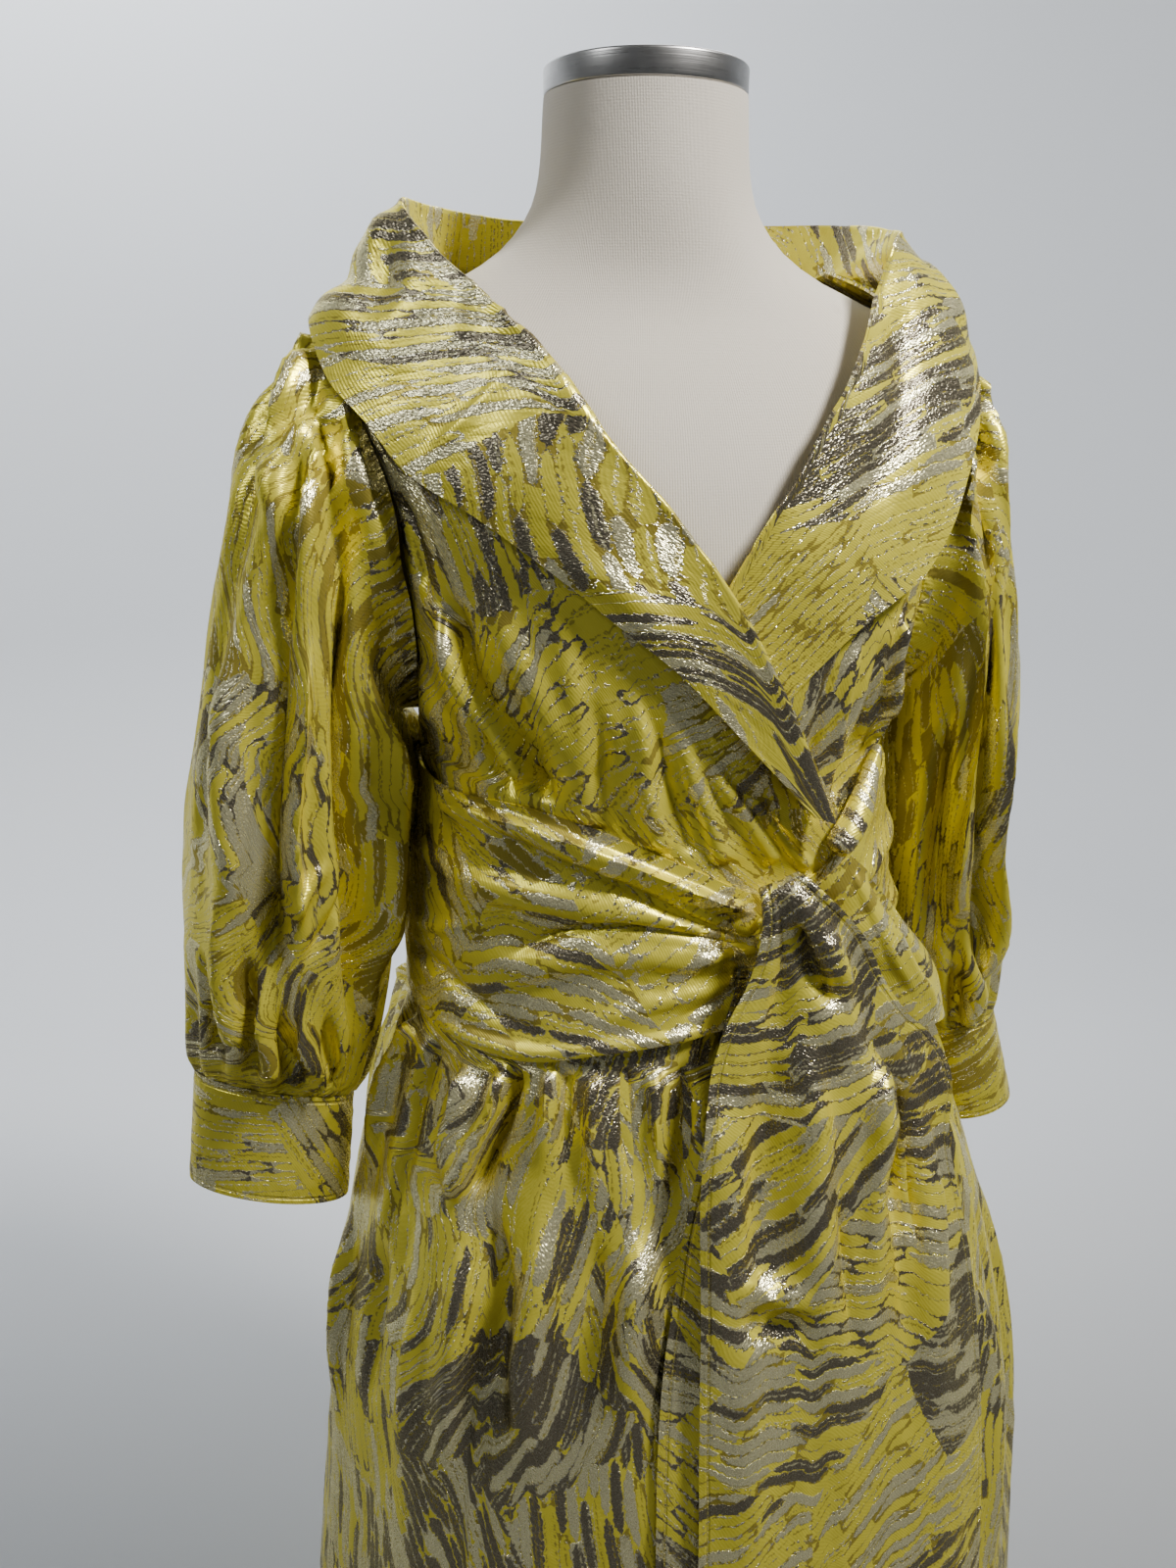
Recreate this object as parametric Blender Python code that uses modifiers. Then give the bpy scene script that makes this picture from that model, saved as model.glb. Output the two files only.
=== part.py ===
# Wrap evening gown with a portrait collar, worn by a limbless dress form.
# Metres, +Z up, origin on the floor under the neck; the gown faces -Y and its wearer's left is +X.
# A place on the gown is an angle round the body (0 at the front, 90 at the wearer's left),
# a height, and a lift off the body's skin along its normal.

import math

import bmesh
import bpy
from mathutils import Vector

# Cloth and seams
CLOTH = 0.0015
SEAM_GAP = 0.0006
BODY_RADIUS = 0.14
SLEEVE_SEAM_LIFT = 0.0031

# The two fronts of the surplice bodice
OVER_LIFT = 0.008
OVER_RISE_FROM = 88.0
OVER_RISE_TO = 45.0
BLOUSE_LIFT = 0.009
BLOUSE_ANGLE = 60.0
BLOUSE_SPREAD = 28.0
BLOUSE_LOW = 1.155
BLOUSE_HIGH = 1.39
BLOUSE_FADE = 0.055
BLOUSE_SEAM_FADE = 12.0
FOLD_FADE = 0.03
FOLD_TAPER = 0.6
UNCOVERED_FROM = 30.0
UNCOVERED_OVER = 12.0
WAIST = 1.065
WAIST_GAP = 0.0008
UNDERARM = 1.172
NECK_BACK = 1.424
ARMHOLE_FROM = 0.34

# Skirt
HEM = 0.022
WRAP_EDGE = 38.0
UNDER_EDGE = -30.0
WRAP_LIFT = 0.0042
WRAP_RISE_FROM = 84.0
WRAP_RISE_OVER = 34.0
GATHER_COUNT = 22
GATHER_RISE = 0.0055
GATHER_TOP = 0.985
GATHER_STARTS = 0.04
GATHER_ENDS = 0.42
GATHER_FADE = 0.34
FLUTE_STARTS = 0.06
FLUTE_FADE = 0.75
GATHER_DRIFT = 0.7
FLUTE_MEAN = 0.5
# Flutes of the skirt: how many round the body, share of the swing, phase
FLUTES = ((9.0, 0.28, 0.8), (14.0, 0.22, -0.6))
SWING_RISE = 0.018
SKIRT_ROWS = 1.8

# Collar
COLLAR_CLOTH = 0.0016
ROLL_DROP = 0.007
ROLL_HALF_GAP = 0.0014
CENTRE_BACK_GAP = 0.0002
COLLAR_SEAM_LIFT = 0.0034

# Sash
SASH_FRONT_LIFT = 0.0103
SASH_SIDE_LIFT = 0.0048
SASH_DEPTH = 0.15
SASH_RISE_FROM = 98.0
SASH_RISE_OVER = 46.0
SASH_FALL_FROM = 92.0
SASH_FALL_OVER = 24.0
TAIL_FOLD_STARTS = 0.08
TAIL_FOLD_FADES = 0.3
ROLL_STEPS = 10
ROLL_SIDES = 3

# Cuffs
CUFF_GATHERS = 16
CUFF_GATHER_RISE = 0.0028
CUFF_GATHERS_FROM = 0.72
CUFF_GATHERS_OVER = 0.22
CUFF_GATHER_TURN = 20.0
CUFF_SEAM_FROM = 0.96
CUFF_SEAM_OVER = 0.04
CUFF_SEAM_EASE = 0.55
HEAD_EASE = 0.13
PLEAT_EASE = 0.10
PLEAT_FADE = 0.35
PLEAT_SPREAD = 0.8

# Dress form and its stand
TORSO_SEGMENTS = 24
SEAT_GAP = 0.0003
CAP_RADIUS = 0.0575
CAP_BOTTOM = 1.5203
CAP_HEIGHT = 0.0141
CAP_EDGE = 0.0015
CAP_SEGMENTS = 32
POLE_RADIUS = 0.0125
POLE_SEGMENTS = 20
BASE_RADIUS = 0.17
BASE_THICKNESS = 0.010
BASE_EDGE = 0.003
BASE_SEGMENTS = 36

# Gown's skin: height, half width, half depth, centre x, centre y
GOWN_RINGS = (
    (0.02, 0.304, 0.274, 0.036, 0.000),
    (0.18, 0.296, 0.266, 0.036, -0.005),
    (0.36, 0.285, 0.254, 0.036, -0.010),
    (0.52, 0.272, 0.240, 0.035, -0.012),
    (0.66, 0.256, 0.222, 0.033, -0.015),
    (0.76, 0.239, 0.204, 0.030, -0.015),
    (0.84, 0.218, 0.183, 0.026, -0.015),
    (0.90, 0.195, 0.163, 0.021, -0.012),
    (0.94, 0.180, 0.150, 0.018, -0.010),
    (0.98, 0.168, 0.138, 0.015, -0.008),
    (1.02, 0.160, 0.128, 0.013, -0.006),
    (1.065, 0.153, 0.121, 0.011, -0.005),
    (1.10, 0.149, 0.119, 0.010, -0.005),
    (1.15, 0.145, 0.119, 0.009, -0.006),
    (1.20, 0.150, 0.121, 0.009, -0.008),
    (1.26, 0.162, 0.119, 0.008, -0.009),
    (1.31, 0.170, 0.112, 0.006, -0.007),
    (1.345, 0.178, 0.1025, 0.004, -0.004),
    (1.375, 0.184, 0.090, 0.002, -0.001),
    (1.397, 0.181, 0.079, 0.000, 0.001),
    (1.413, 0.155, 0.072, 0.000, 0.003),
    (1.432, 0.112, 0.068, 0.000, 0.004),
    (1.45, 0.084, 0.066, 0.000, 0.004),
)

# Dress form: height, half width, half depth, centre x, centre y
FORM_RINGS = (
    (0.790, 0.146, 0.110, 0.000, 0.000),
    (0.800, 0.154, 0.117, 0.000, 0.000),
    (0.880, 0.165, 0.120, 0.000, 0.000),
    (0.970, 0.152, 0.114, 0.000, 0.000),
    (1.070, 0.136, 0.108, 0.000, -0.001),
    (1.150, 0.132, 0.109, 0.000, -0.003),
    (1.200, 0.137, 0.112, 0.000, -0.006),
    (1.260, 0.150, 0.1125, 0.000, -0.008),
    (1.310, 0.160, 0.106, 0.000, -0.006),
    (1.345, 0.169, 0.097, 0.000, -0.003),
    (1.375, 0.177, 0.0845, 0.000, 0.000),
    (1.392, 0.173, 0.0745, 0.000, 0.001),
    (1.408, 0.148, 0.0665, 0.000, 0.002),
    (1.427, 0.105, 0.0625, 0.000, 0.003),
    (1.445, 0.079, 0.0620, 0.000, 0.003),
    (1.470, 0.063, 0.0605, 0.000, 0.001),
    (1.520, 0.0575, 0.0575, 0.000, 0.000),
)

# Armhole seam: turn from the shoulder tip over the front, angle round the body, height
ARMHOLE = (
    (0.0, 90.0, 1.397),
    (40.0, 74.0, 1.378),
    (75.0, 63.0, 1.325),
    (110.0, 63.0, 1.262),
    (145.0, 73.0, 1.205),
    (180.0, 90.0, 1.172),
    (215.0, 107.0, 1.205),
    (250.0, 117.0, 1.262),
    (285.0, 117.0, 1.325),
    (320.0, 106.0, 1.378),
    (360.0, 90.0, 1.397),
)

# Neckline of the over front: along from waist to shoulder, angle, height
OVER_NECKLINE = (
    (0.00, 62.0, 1.0655),
    (0.15, 48.0, 1.100),
    (0.30, 36.0, 1.140),
    (0.45, 18.0, 1.215),
    (0.60, 0.0, 1.285),
    (0.72, -17.0, 1.330),
    (0.85, -42.0, 1.385),
    (0.93, -65.0, 1.415),
    (1.00, -90.0, 1.432),
)

# Neckline of the under front, which ends at the far side of the waist
UNDER_NECKLINE = (
    (0.00, -50.0, 1.0655),
    (0.15, -38.0, 1.100),
    (0.30, -24.0, 1.140),
    (0.45, -8.0, 1.200),
    (0.60, 9.0, 1.265),
    (0.72, 25.0, 1.330),
    (0.85, 42.0, 1.385),
    (0.93, 65.0, 1.415),
    (1.00, 90.0, 1.432),
)

# Middle of each half of the back: along from waist to shoulder, angle, height
BACK_MIDDLE = (
    (0.00, 135.0, 1.0655),
    (0.34, 135.0, 1.175),
    (0.60, 135.0, 1.275),
    (0.80, 128.0, 1.360),
    (0.92, 112.0, 1.408),
    (1.00, 90.0, 1.432),
)

# Right collar, the over one: along from centre back to tip, roll x y z, outer edge x y z,
# seam angle and height, swell of the fall
COLLAR_RIGHT = (
    (0.00, 0.000, 0.090, 1.463, 0.000, 0.146, 1.388, -180.0, 1.421, 0.006),
    (0.10, -0.042, 0.086, 1.463, -0.064, 0.140, 1.388, -152.0, 1.424, 0.006),
    (0.20, -0.080, 0.063, 1.463, -0.128, 0.110, 1.391, -128.0, 1.427, 0.006),
    (0.29, -0.114, 0.020, 1.463, -0.178, 0.048, 1.399, -106.0, 1.428, 0.006),
    (0.36, -0.138, -0.028, 1.462, -0.192, -0.014, 1.404, -90.0, 1.427, 0.006),
    (0.44, -0.1225, -0.060, 1.437, -0.182, -0.050, 1.372, -68.0, 1.411, 0.006),
    (0.52, -0.095, -0.080, 1.411, -0.162, -0.074, 1.350, -48.0, 1.385, 0.005),
    (0.60, -0.075, -0.098, 1.390, -0.139, -0.092, 1.323, -34.0, 1.358, 0.005),
    (0.68, -0.047, -0.121, 1.352, -0.105, -0.114, 1.303, -21.0, 1.334, 0.004),
    (0.76, -0.012, -0.136, 1.314, -0.060, -0.132, 1.271, -9.0, 1.302, 0.003),
    (0.82, 0.008, -0.142, 1.289, -0.035, -0.140, 1.251, -3.0, 1.280, 0.002),
    (0.88, 0.030, -0.147, 1.258, 0.000, -0.146, 1.223, 5.0, 1.250, 0.001),
    (0.94, 0.060, -0.146, 1.204, 0.037, -0.147, 1.184, 18.0, 1.198, 0.000),
    (1.00, 0.095, -0.136, 1.131, 0.081, -0.141, 1.137, 31.0, 1.140, 0.000),
)

# Left collar, the under one, which ends hidden under the over front
COLLAR_LEFT = (
    (0.00, 0.000, 0.090, 1.463, 0.000, 0.146, 1.388, 180.0, 1.421, 0.006),
    (0.10, 0.048, 0.087, 1.463, 0.068, 0.140, 1.388, 152.0, 1.424, 0.006),
    (0.20, 0.094, 0.066, 1.463, 0.134, 0.110, 1.391, 128.0, 1.427, 0.006),
    (0.29, 0.131, 0.026, 1.460, 0.184, 0.048, 1.396, 106.0, 1.428, 0.006),
    (0.36, 0.146, -0.020, 1.453, 0.199, -0.006, 1.396, 90.0, 1.427, 0.006),
    (0.42, 0.135, -0.048, 1.445, 0.197, -0.038, 1.374, 74.0, 1.416, 0.006),
    (0.48, 0.121, -0.064, 1.417, 0.190, -0.061, 1.345, 60.0, 1.401, 0.006),
    (0.54, 0.109, -0.083, 1.391, 0.179, -0.077, 1.318, 47.0, 1.383, 0.006),
    (0.60, 0.098, -0.097, 1.371, 0.168, -0.088, 1.292, 39.0, 1.366, 0.006),
    (0.66, 0.079, -0.113, 1.346, 0.150, -0.100, 1.268, 32.0, 1.343, 0.005),
    (0.72, 0.063, -0.124, 1.322, 0.130, -0.110, 1.255, 27.0, 1.325, 0.004),
    (0.80, 0.048, -0.131, 1.303, 0.106, -0.118, 1.240, 21.0, 1.297, 0.003),
    (0.88, 0.027, -0.1335, 1.268, 0.077, -0.1235, 1.214, 11.0, 1.262, 0.001),
    (0.96, 0.006, -0.1342, 1.232, 0.050, -0.1280, 1.186, -2.0, 1.218, 0.000),
)

# Right sleeve: along, centre x (outward), centre y, centre z, lean, pitch, half height, half depth
SLEEVE_RIGHT = (
    (0.00, 0.164, 0.000, 1.285, 82.0, 0.0, 0.114, 0.066),
    (0.12, 0.179, 0.000, 1.271, 75.0, 0.0, 0.104, 0.076),
    (0.26, 0.197, 0.000, 1.222, 50.0, 0.0, 0.076, 0.079),
    (0.44, 0.210, -0.002, 1.150, 26.0, 0.0, 0.065, 0.077),
    (0.62, 0.222, -0.006, 1.080, 15.0, 2.0, 0.068, 0.076),
    (0.78, 0.234, -0.010, 1.010, 11.0, 8.0, 0.067, 0.070),
    (0.90, 0.242, -0.015, 0.956, 12.0, 13.0, 0.063, 0.058),
    (0.97, 0.248, -0.019, 0.925, 14.0, 16.0, 0.0595, 0.046),
    (1.00, 0.2505, -0.020, 0.913, 15.0, 18.0, 0.0550, 0.0375),
)

# Left sleeve, which the skirt's fullness holds a little further out and back
SLEEVE_LEFT = (
    (0.00, 0.172, 0.000, 1.285, 82.0, 0.0, 0.112, 0.062),
    (0.12, 0.190, 0.000, 1.270, 80.0, 0.0, 0.099, 0.068),
    (0.26, 0.203, 0.005, 1.222, 52.0, 0.0, 0.062, 0.067),
    (0.44, 0.216, 0.010, 1.150, 26.0, 0.0, 0.0530, 0.064),
    (0.62, 0.225, 0.018, 1.075, 14.0, 0.0, 0.0515, 0.062),
    (0.78, 0.237, 0.028, 1.000, 10.0, 4.0, 0.0500, 0.058),
    (0.90, 0.250, 0.036, 0.942, 11.0, 8.0, 0.0455, 0.052),
    (0.97, 0.2585, 0.042, 0.905, 12.0, 10.0, 0.0420, 0.046),
    (1.00, 0.2625, 0.044, 0.892, 12.0, 12.0, 0.0395, 0.042),
)

# Cuff under each sleeve: along from its seam to its hem, then the sleeve's columns
CUFF_RIGHT = (
    (0.0, 0.2507, -0.0202, 0.9123, 15.0, 18.0, 0.0545, 0.0370),
    (1.0, 0.2610, -0.0230, 0.8290, 14.0, 15.0, 0.0555, 0.0350),
)
CUFF_LEFT = (
    (0.0, 0.2627, 0.0438, 0.8913, 12.0, 12.0, 0.0390, 0.0415),
    (1.0, 0.2915, 0.0500, 0.8060, 13.0, 10.0, 0.0385, 0.0425),
)

# Pleats set into the sleeve head: turn at the head, turn lower down, width, rise, where it fades out
SLEEVE_PLEATS = (
    (-64.0, -78.0, 9.0, 0.006, 0.62),
    (-38.0, -50.0, 8.0, 0.007, 0.70),
    (-16.0, -22.0, 8.0, 0.007, 0.78),
    (6.0, 5.0, 8.0, 0.007, 0.86),
    (26.0, 32.0, 8.0, 0.009, 0.80),
    (46.0, 62.0, 8.0, 0.008, 0.92),
    (68.0, 92.0, 8.0, 0.007, 0.84),
    (96.0, 126.0, 10.0, 0.005, 0.74),
)

# Sash band: angle round the body, top height, bottom height
SASH_EDGES = (
    (-180.0, 1.150, 1.000),
    (-120.0, 1.150, 0.998),
    (-85.0, 1.143, 0.991),
    (-60.0, 1.139, 0.983),
    (-36.0, 1.140, 0.981),
    (-18.0, 1.129, 0.992),
    (0.0, 1.107, 1.001),
    (18.0, 1.084, 1.008),
    (34.0, 1.095, 1.010),
    (55.0, 1.128, 1.000),
    (85.0, 1.145, 0.996),
    (120.0, 1.150, 0.998),
    (180.0, 1.150, 1.000),
)

# Folds crushed into the sash: start angle and part of its height, end angle and part, width, rise
SASH_FOLDS = (
    (-95.0, 0.70, 9.0, 0.62, 0.0075, 0.0055),
    (-70.0, 0.92, 8.0, 0.80, 0.0070, 0.0050),
    (-62.0, 0.34, 9.0, 0.45, 0.0080, 0.0055),
    (-30.0, 0.08, 9.0, 0.25, 0.0070, 0.0045),
    (95.0, 0.68, 24.0, 0.60, 0.0080, 0.0050),
    (85.0, 0.30, 26.0, 0.35, 0.0080, 0.0050),
    (-175.0, 0.62, -100.0, 0.50, 0.0080, 0.0045),
    (175.0, 0.35, 105.0, 0.45, 0.0080, 0.0045),
)

# Folds drawn across the right front to the waist: start angle height, end angle height, width, rise
OVER_FOLDS = (
    (-64.0, 1.290, -34.0, 1.155, 0.010, 0.0050),
    (-58.0, 1.250, -46.0, 1.160, 0.009, 0.0050),
    (-44.0, 1.270, -18.0, 1.140, 0.010, 0.0045),
    (-72.0, 1.215, -58.0, 1.160, 0.009, 0.0045),
    (-26.0, 1.235, -2.0, 1.130, 0.010, 0.0035),
)
UNDER_FOLDS = (
    (62.0, 1.270, 48.0, 1.140, 0.008, 0.0060),
    (50.0, 1.250, 40.0, 1.150, 0.008, 0.0040),
    (70.0, 1.215, 60.0, 1.165, 0.009, 0.0040),
)
BACK_FOLDS = (
    (-150.0, 1.225, -140.0, 1.165, 0.010, 0.0040),
    (152.0, 1.230, 144.0, 1.165, 0.010, 0.0040),
    (-168.0, 1.210, -165.0, 1.165, 0.010, 0.0035),
    (170.0, 1.205, 166.0, 1.165, 0.010, 0.0035),
)

# Front end of the sash: along from the knot to its hem, left angle height lift, right angle height lift
TAIL_FRONT = (
    (0.000, 14.0, 1.0785, 0.0293, 21.0, 1.0790, 0.0297),
    (0.035, 12.6, 1.097, 0.0310, 18.8, 1.108, 0.0400),
    (0.070, 12.2, 1.088, 0.0380, 21.5, 1.100, 0.0530),
    (0.110, 11.2, 1.066, 0.0400, 26.5, 1.080, 0.0530),
    (0.160, 8.6, 1.040, 0.0380, 31.0, 1.054, 0.0520),
    (0.210, 5.0, 1.018, 0.0360, 34.0, 1.026, 0.0510),
    (0.260, 1.6, 0.992, 0.0340, 38.5, 0.999, 0.0500),
    (0.300, 0.0, 0.972, 0.0320, 44.5, 0.975, 0.0480),
    (0.350, -1.6, 0.944, 0.0300, 46.2, 0.944, 0.0460),
    (0.420, -3.0, 0.905, 0.0260, 43.0, 0.905, 0.0400),
    (0.560, -5.2, 0.790, 0.0200, 40.5, 0.790, 0.0290),
    (0.760, -6.3, 0.600, 0.0185, 37.0, 0.600, 0.0200),
    (1.000, -6.5, 0.360, 0.0180, 35.5, 0.360, 0.0180),
)
# Back end of the sash, mostly under the front one
TAIL_BACK = (
    (0.00, 10.5, 1.040, 0.0128, 24.0, 1.040, 0.0128),
    (0.15, 4.5, 0.995, 0.0132, 31.0, 0.995, 0.0140),
    (0.30, -1.0, 0.940, 0.0120, 33.0, 0.940, 0.0130),
    (0.45, -6.8, 0.870, 0.0105, 34.0, 0.870, 0.0115),
    (0.62, -10.5, 0.790, 0.0100, 32.0, 0.790, 0.0110),
    (0.82, -11.5, 0.640, 0.0100, 28.0, 0.640, 0.0105),
    (1.00, -12.0, 0.420, 0.0100, 26.0, 0.420, 0.0105),
)
# Folds down the front tail: across at the top, across at the hem, start, end, width, rise
TAIL_FOLDS = (
    (0.56, 0.50, 0.05, 0.60, 0.170, 0.013),
    (0.26, 0.30, 0.08, 0.42, 0.070, -0.006),
    (0.74, 0.66, 0.28, 0.66, 0.060, -0.013),
    (0.12, 0.14, 0.30, 1.00, 0.070, 0.003),
)

# Half bow: along, left angle height lift, right angle height lift, arch
LOOP = (
    (0.00, 27.0, 1.092, 0.0250, 33.5, 1.108, 0.0304, 0.0015),
    (0.16, 26.8, 1.068, 0.0235, 38.5, 1.090, 0.0360, 0.007),
    (0.40, 29.0, 1.048, 0.0330, 45.5, 1.052, 0.0400, 0.010),
    (0.75, 36.0, 1.008, 0.0340, 57.0, 1.004, 0.0400, 0.010),
    (1.00, 40.5, 0.982, 0.0340, 56.5, 0.970, 0.0400, 0.008),
)

# Rolled stretch of the sash above the knot: angle, height, lift of its middle, radius
ROLL_PATH = (
    (33.0, 1.106, 0.0210, 0.0090),
    (38.0, 1.117, 0.0205, 0.0098),
    (44.0, 1.132, 0.0182, 0.0085),
    (50.0, 1.148, 0.0152, 0.0060),
    (55.0, 1.162, 0.0130, 0.0035),
)

# Knot: centre on the body and its half sizes
KNOT_ANGLE = 19.0
KNOT_HEIGHT = 1.063
KNOT_LIFT = 0.0227
KNOT_HALF_WIDTH = 0.018
KNOT_HALF_DEPTH = 0.0097
KNOT_HALF_HEIGHT = 0.019
KNOT_RIDGES = 5
KNOT_RIDGE_RISE = 0.08
KNOT_SEGMENTS = 16
KNOT_RINGS = 10

# Finishes: colour, roughness, metallic
JACQUARD = ((0.62, 0.50, 0.06, 1.0), 0.38, 0.25)
JERSEY = ((0.72, 0.67, 0.60, 1.0), 0.85, 0.0)
STEEL = ((0.42, 0.41, 0.40, 1.0), 0.32, 1.0)


def clear_scene():
    for old in list(bpy.data.objects):
        bpy.data.objects.remove(old, do_unlink=True)


def make_collection(name):
    collection = bpy.data.collections.new(name)
    bpy.context.scene.collection.children.link(collection)
    return collection


def make_finish(name, look):
    colour, roughness, metallic = look
    finish = bpy.data.materials.new(name)
    finish.use_nodes = True
    shader = finish.node_tree.nodes["Principled BSDF"]
    shader.inputs["Base Color"].default_value = colour
    shader.inputs["Roughness"].default_value = roughness
    shader.inputs["Metallic"].default_value = metallic
    return finish


def ease(value):
    """Rise from 0 to 1 with level ends."""
    value = min(max(value, 0.0), 1.0)
    return value * value * (3.0 - 2.0 * value)


def blend(start, end, part):
    return start + (end - start) * part


def along(rows, key):
    """Read a table smoothly between its rows; the first column is the key."""
    last = len(rows) - 1
    key = min(max(key, rows[0][0]), rows[last][0])
    low = 0
    while low < last - 1 and key > rows[low + 1][0]:
        low += 1
    near, far = rows[low], rows[low + 1]
    before, after = rows[max(low - 1, 0)], rows[min(low + 2, last)]
    span = far[0] - near[0]
    part = (key - near[0]) / span
    values = []
    for column in range(1, len(near)):
        slope_near = span * (far[column] - before[column]) / (far[0] - before[0])
        slope_far = span * (after[column] - near[column]) / (after[0] - near[0])
        rise = far[column] - near[column]
        bend_near = slope_near - rise
        bend_far = rise - slope_far
        curve = part * (1.0 - part) * (bend_near * (1.0 - part) + bend_far * part)
        values.append(near[column] + rise * part + curve)
    return values


def through(points, part):
    """A smooth curve through evenly spaced points."""
    rows = [(index, *point) for index, point in enumerate(points)]
    return Vector(along(rows, part * (len(points) - 1)))


def ring_point(rows, angle, height):
    half_width, half_depth, centre_x, centre_y = along(rows, height)
    turn = math.radians(angle)
    x = centre_x + half_width * math.sin(turn)
    y = centre_y - half_depth * math.cos(turn)
    return Vector((x, y, height))


def skin(angle, height, lift=0.0):
    """A point on the gown's skin, lifted along the skin's normal."""
    step = 0.25
    rise = 0.0008
    point = ring_point(GOWN_RINGS, angle, height)
    ahead = ring_point(GOWN_RINGS, angle + step, height)
    behind = ring_point(GOWN_RINGS, angle - step, height)
    above = ring_point(GOWN_RINGS, angle, height + rise)
    below = ring_point(GOWN_RINGS, angle, height - rise)
    return point + (ahead - behind).cross(above - below).normalized() * lift


def to_flat(angle, height):
    """Unroll a place on the body to a plane, for distances along the cloth."""
    return Vector((math.radians(angle) * BODY_RADIUS, height))


def ridge(place, start, end, width):
    """Height from 0 to 1 of a fold between two places, tapered at both ends."""
    line = end - start
    part = (place - start).dot(line) / line.length_squared
    if part <= 0.0 or part >= 1.0:
        return 0.0
    aside = (place - start - line * part).length / width
    return math.exp(-aside * aside) * math.sin(math.pi * part) ** FOLD_TAPER


def body_folds(folds, angle, height):
    place = to_flat(angle, height)
    total = 0.0
    for start_angle, start_height, end_angle, end_height, width, rise in folds:
        start = to_flat(start_angle, start_height)
        end = to_flat(end_angle, end_height)
        total += rise * ridge(place, start, end, width)
    return total * ease((height - sash_top(angle)) / FOLD_FADE)


def sash_top(angle):
    return along(SASH_EDGES, angle)[0]


def over_lift(angle):
    """The right front leaves the skin at the side and rides over the left one."""
    return OVER_LIFT * ease((angle + OVER_RISE_FROM) / (OVER_RISE_FROM - OVER_RISE_TO))


def under_lift(angle, height):
    """The left front blouses a little at its side."""
    spread = (angle - BLOUSE_ANGLE) / BLOUSE_SPREAD
    level = ease((height - BLOUSE_LOW) / BLOUSE_FADE) * ease((BLOUSE_HIGH - height) / BLOUSE_FADE)
    return BLOUSE_LIFT * math.exp(-spread * spread) * level * ease((90.0 - angle) / BLOUSE_SEAM_FADE)


def panel_lift(side, angle, height):
    """Lift of the front panel on the wearer's right (-1) or left (1), its folds included."""
    if abs(angle) > 90.0:
        return 0.0
    if side < 0:
        return over_lift(angle) + body_folds(OVER_FOLDS, angle, height)
    uncovered = ease((angle - UNCOVERED_FROM) / UNCOVERED_OVER)
    return under_lift(angle, height) + uncovered * body_folds(UNDER_FOLDS, angle, height)


def seam_angle(height):
    """Half of the side and shoulder seams' gap, in degrees round the body."""
    return math.degrees(SEAM_GAP / 2.0 / along(GOWN_RINGS, height)[1])


def panel_edge(side, along_part, back):
    """Side seam from the waist to the underarm, then the armhole up to the shoulder tip."""
    if along_part < ARMHOLE_FROM:
        height = blend(WAIST + WAIST_GAP / 2.0, UNDERARM, along_part / ARMHOLE_FROM)
        angle = 90.0
    else:
        turn = 180.0 * (1.0 - (along_part - ARMHOLE_FROM) / (1.0 - ARMHOLE_FROM))
        if back:
            turn = 360.0 - turn
        angle, height = along(ARMHOLE, turn)
    gap = seam_angle(height)
    if back:
        angle = max(angle, 90.0 + gap)
    else:
        angle = min(angle, 90.0 - gap)
    return side * angle, height


def over_front(across, up):
    edge_angle, edge_height = panel_edge(-1, up, back=False)
    neck_angle, neck_height = along(OVER_NECKLINE, up)
    neck_angle = max(neck_angle, -90.0 + seam_angle(neck_height))
    angle = blend(edge_angle, neck_angle, across)
    height = blend(edge_height, neck_height, across)
    return skin(angle, height, panel_lift(-1, angle, height))


def under_front(across, up):
    edge_angle, edge_height = panel_edge(1, up, back=False)
    neck_angle, neck_height = along(UNDER_NECKLINE, up)
    neck_angle = min(neck_angle, 90.0 - seam_angle(neck_height))
    angle = blend(neck_angle, edge_angle, across)
    height = blend(neck_height, edge_height, across)
    return skin(angle, height, panel_lift(1, angle, height))


def back_panel(across, up):
    """From the left side, over the centre back, to the right side."""
    side = 1 if across < 0.5 else -1
    part = abs(across - 0.5) * 2.0
    edge_angle, edge_height = panel_edge(1, up, back=True)
    middle_angle, middle_height = along(BACK_MIDDLE, up)
    middle_angle = max(middle_angle, 90.0 + seam_angle(middle_height))
    centre_height = blend(WAIST + WAIST_GAP / 2.0, NECK_BACK, up)
    if part < 0.5:
        angle = blend(180.0, middle_angle, part * 2.0)
        height = blend(centre_height, middle_height, part * 2.0)
    else:
        angle = blend(middle_angle, edge_angle, part * 2.0 - 1.0)
        height = blend(middle_height, edge_height, part * 2.0 - 1.0)
    angle = side * angle
    return skin(angle, height, body_folds(BACK_FOLDS, angle, height))


def collar_point(rows, side, across, length):
    """Across the band: up the stand from the seam, over the roll and down the fall."""
    values = along(rows, length)
    roll = Vector(values[0:3])
    edge = Vector(values[3:6])
    seam_turn, seam_height, swell = values[6:9]
    seam = skin(seam_turn, seam_height, panel_lift(side, seam_turn, seam_height) + COLLAR_SEAM_LIFT)
    to_seam = (seam - roll).normalized()
    to_edge = (edge - roll).normalized()
    down = (to_seam + to_edge).normalized()
    inward = to_seam - to_edge
    inward = (inward - down * inward.dot(down)).normalized()
    half_gap = max(ROLL_HALF_GAP, ROLL_DROP * math.tan(math.acos(min(down.dot(to_edge), 1.0))))
    stand_top = roll + down * ROLL_DROP + inward * half_gap
    fall_top = roll + down * ROLL_DROP - inward * half_gap
    fall_middle = (fall_top + edge) / 2.0 - inward * swell
    points = (seam, (seam + stand_top) / 2.0, stand_top, roll, fall_top, fall_middle, edge)
    point = through(points, across)
    point.x += side * CENTRE_BACK_GAP
    return point


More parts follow.
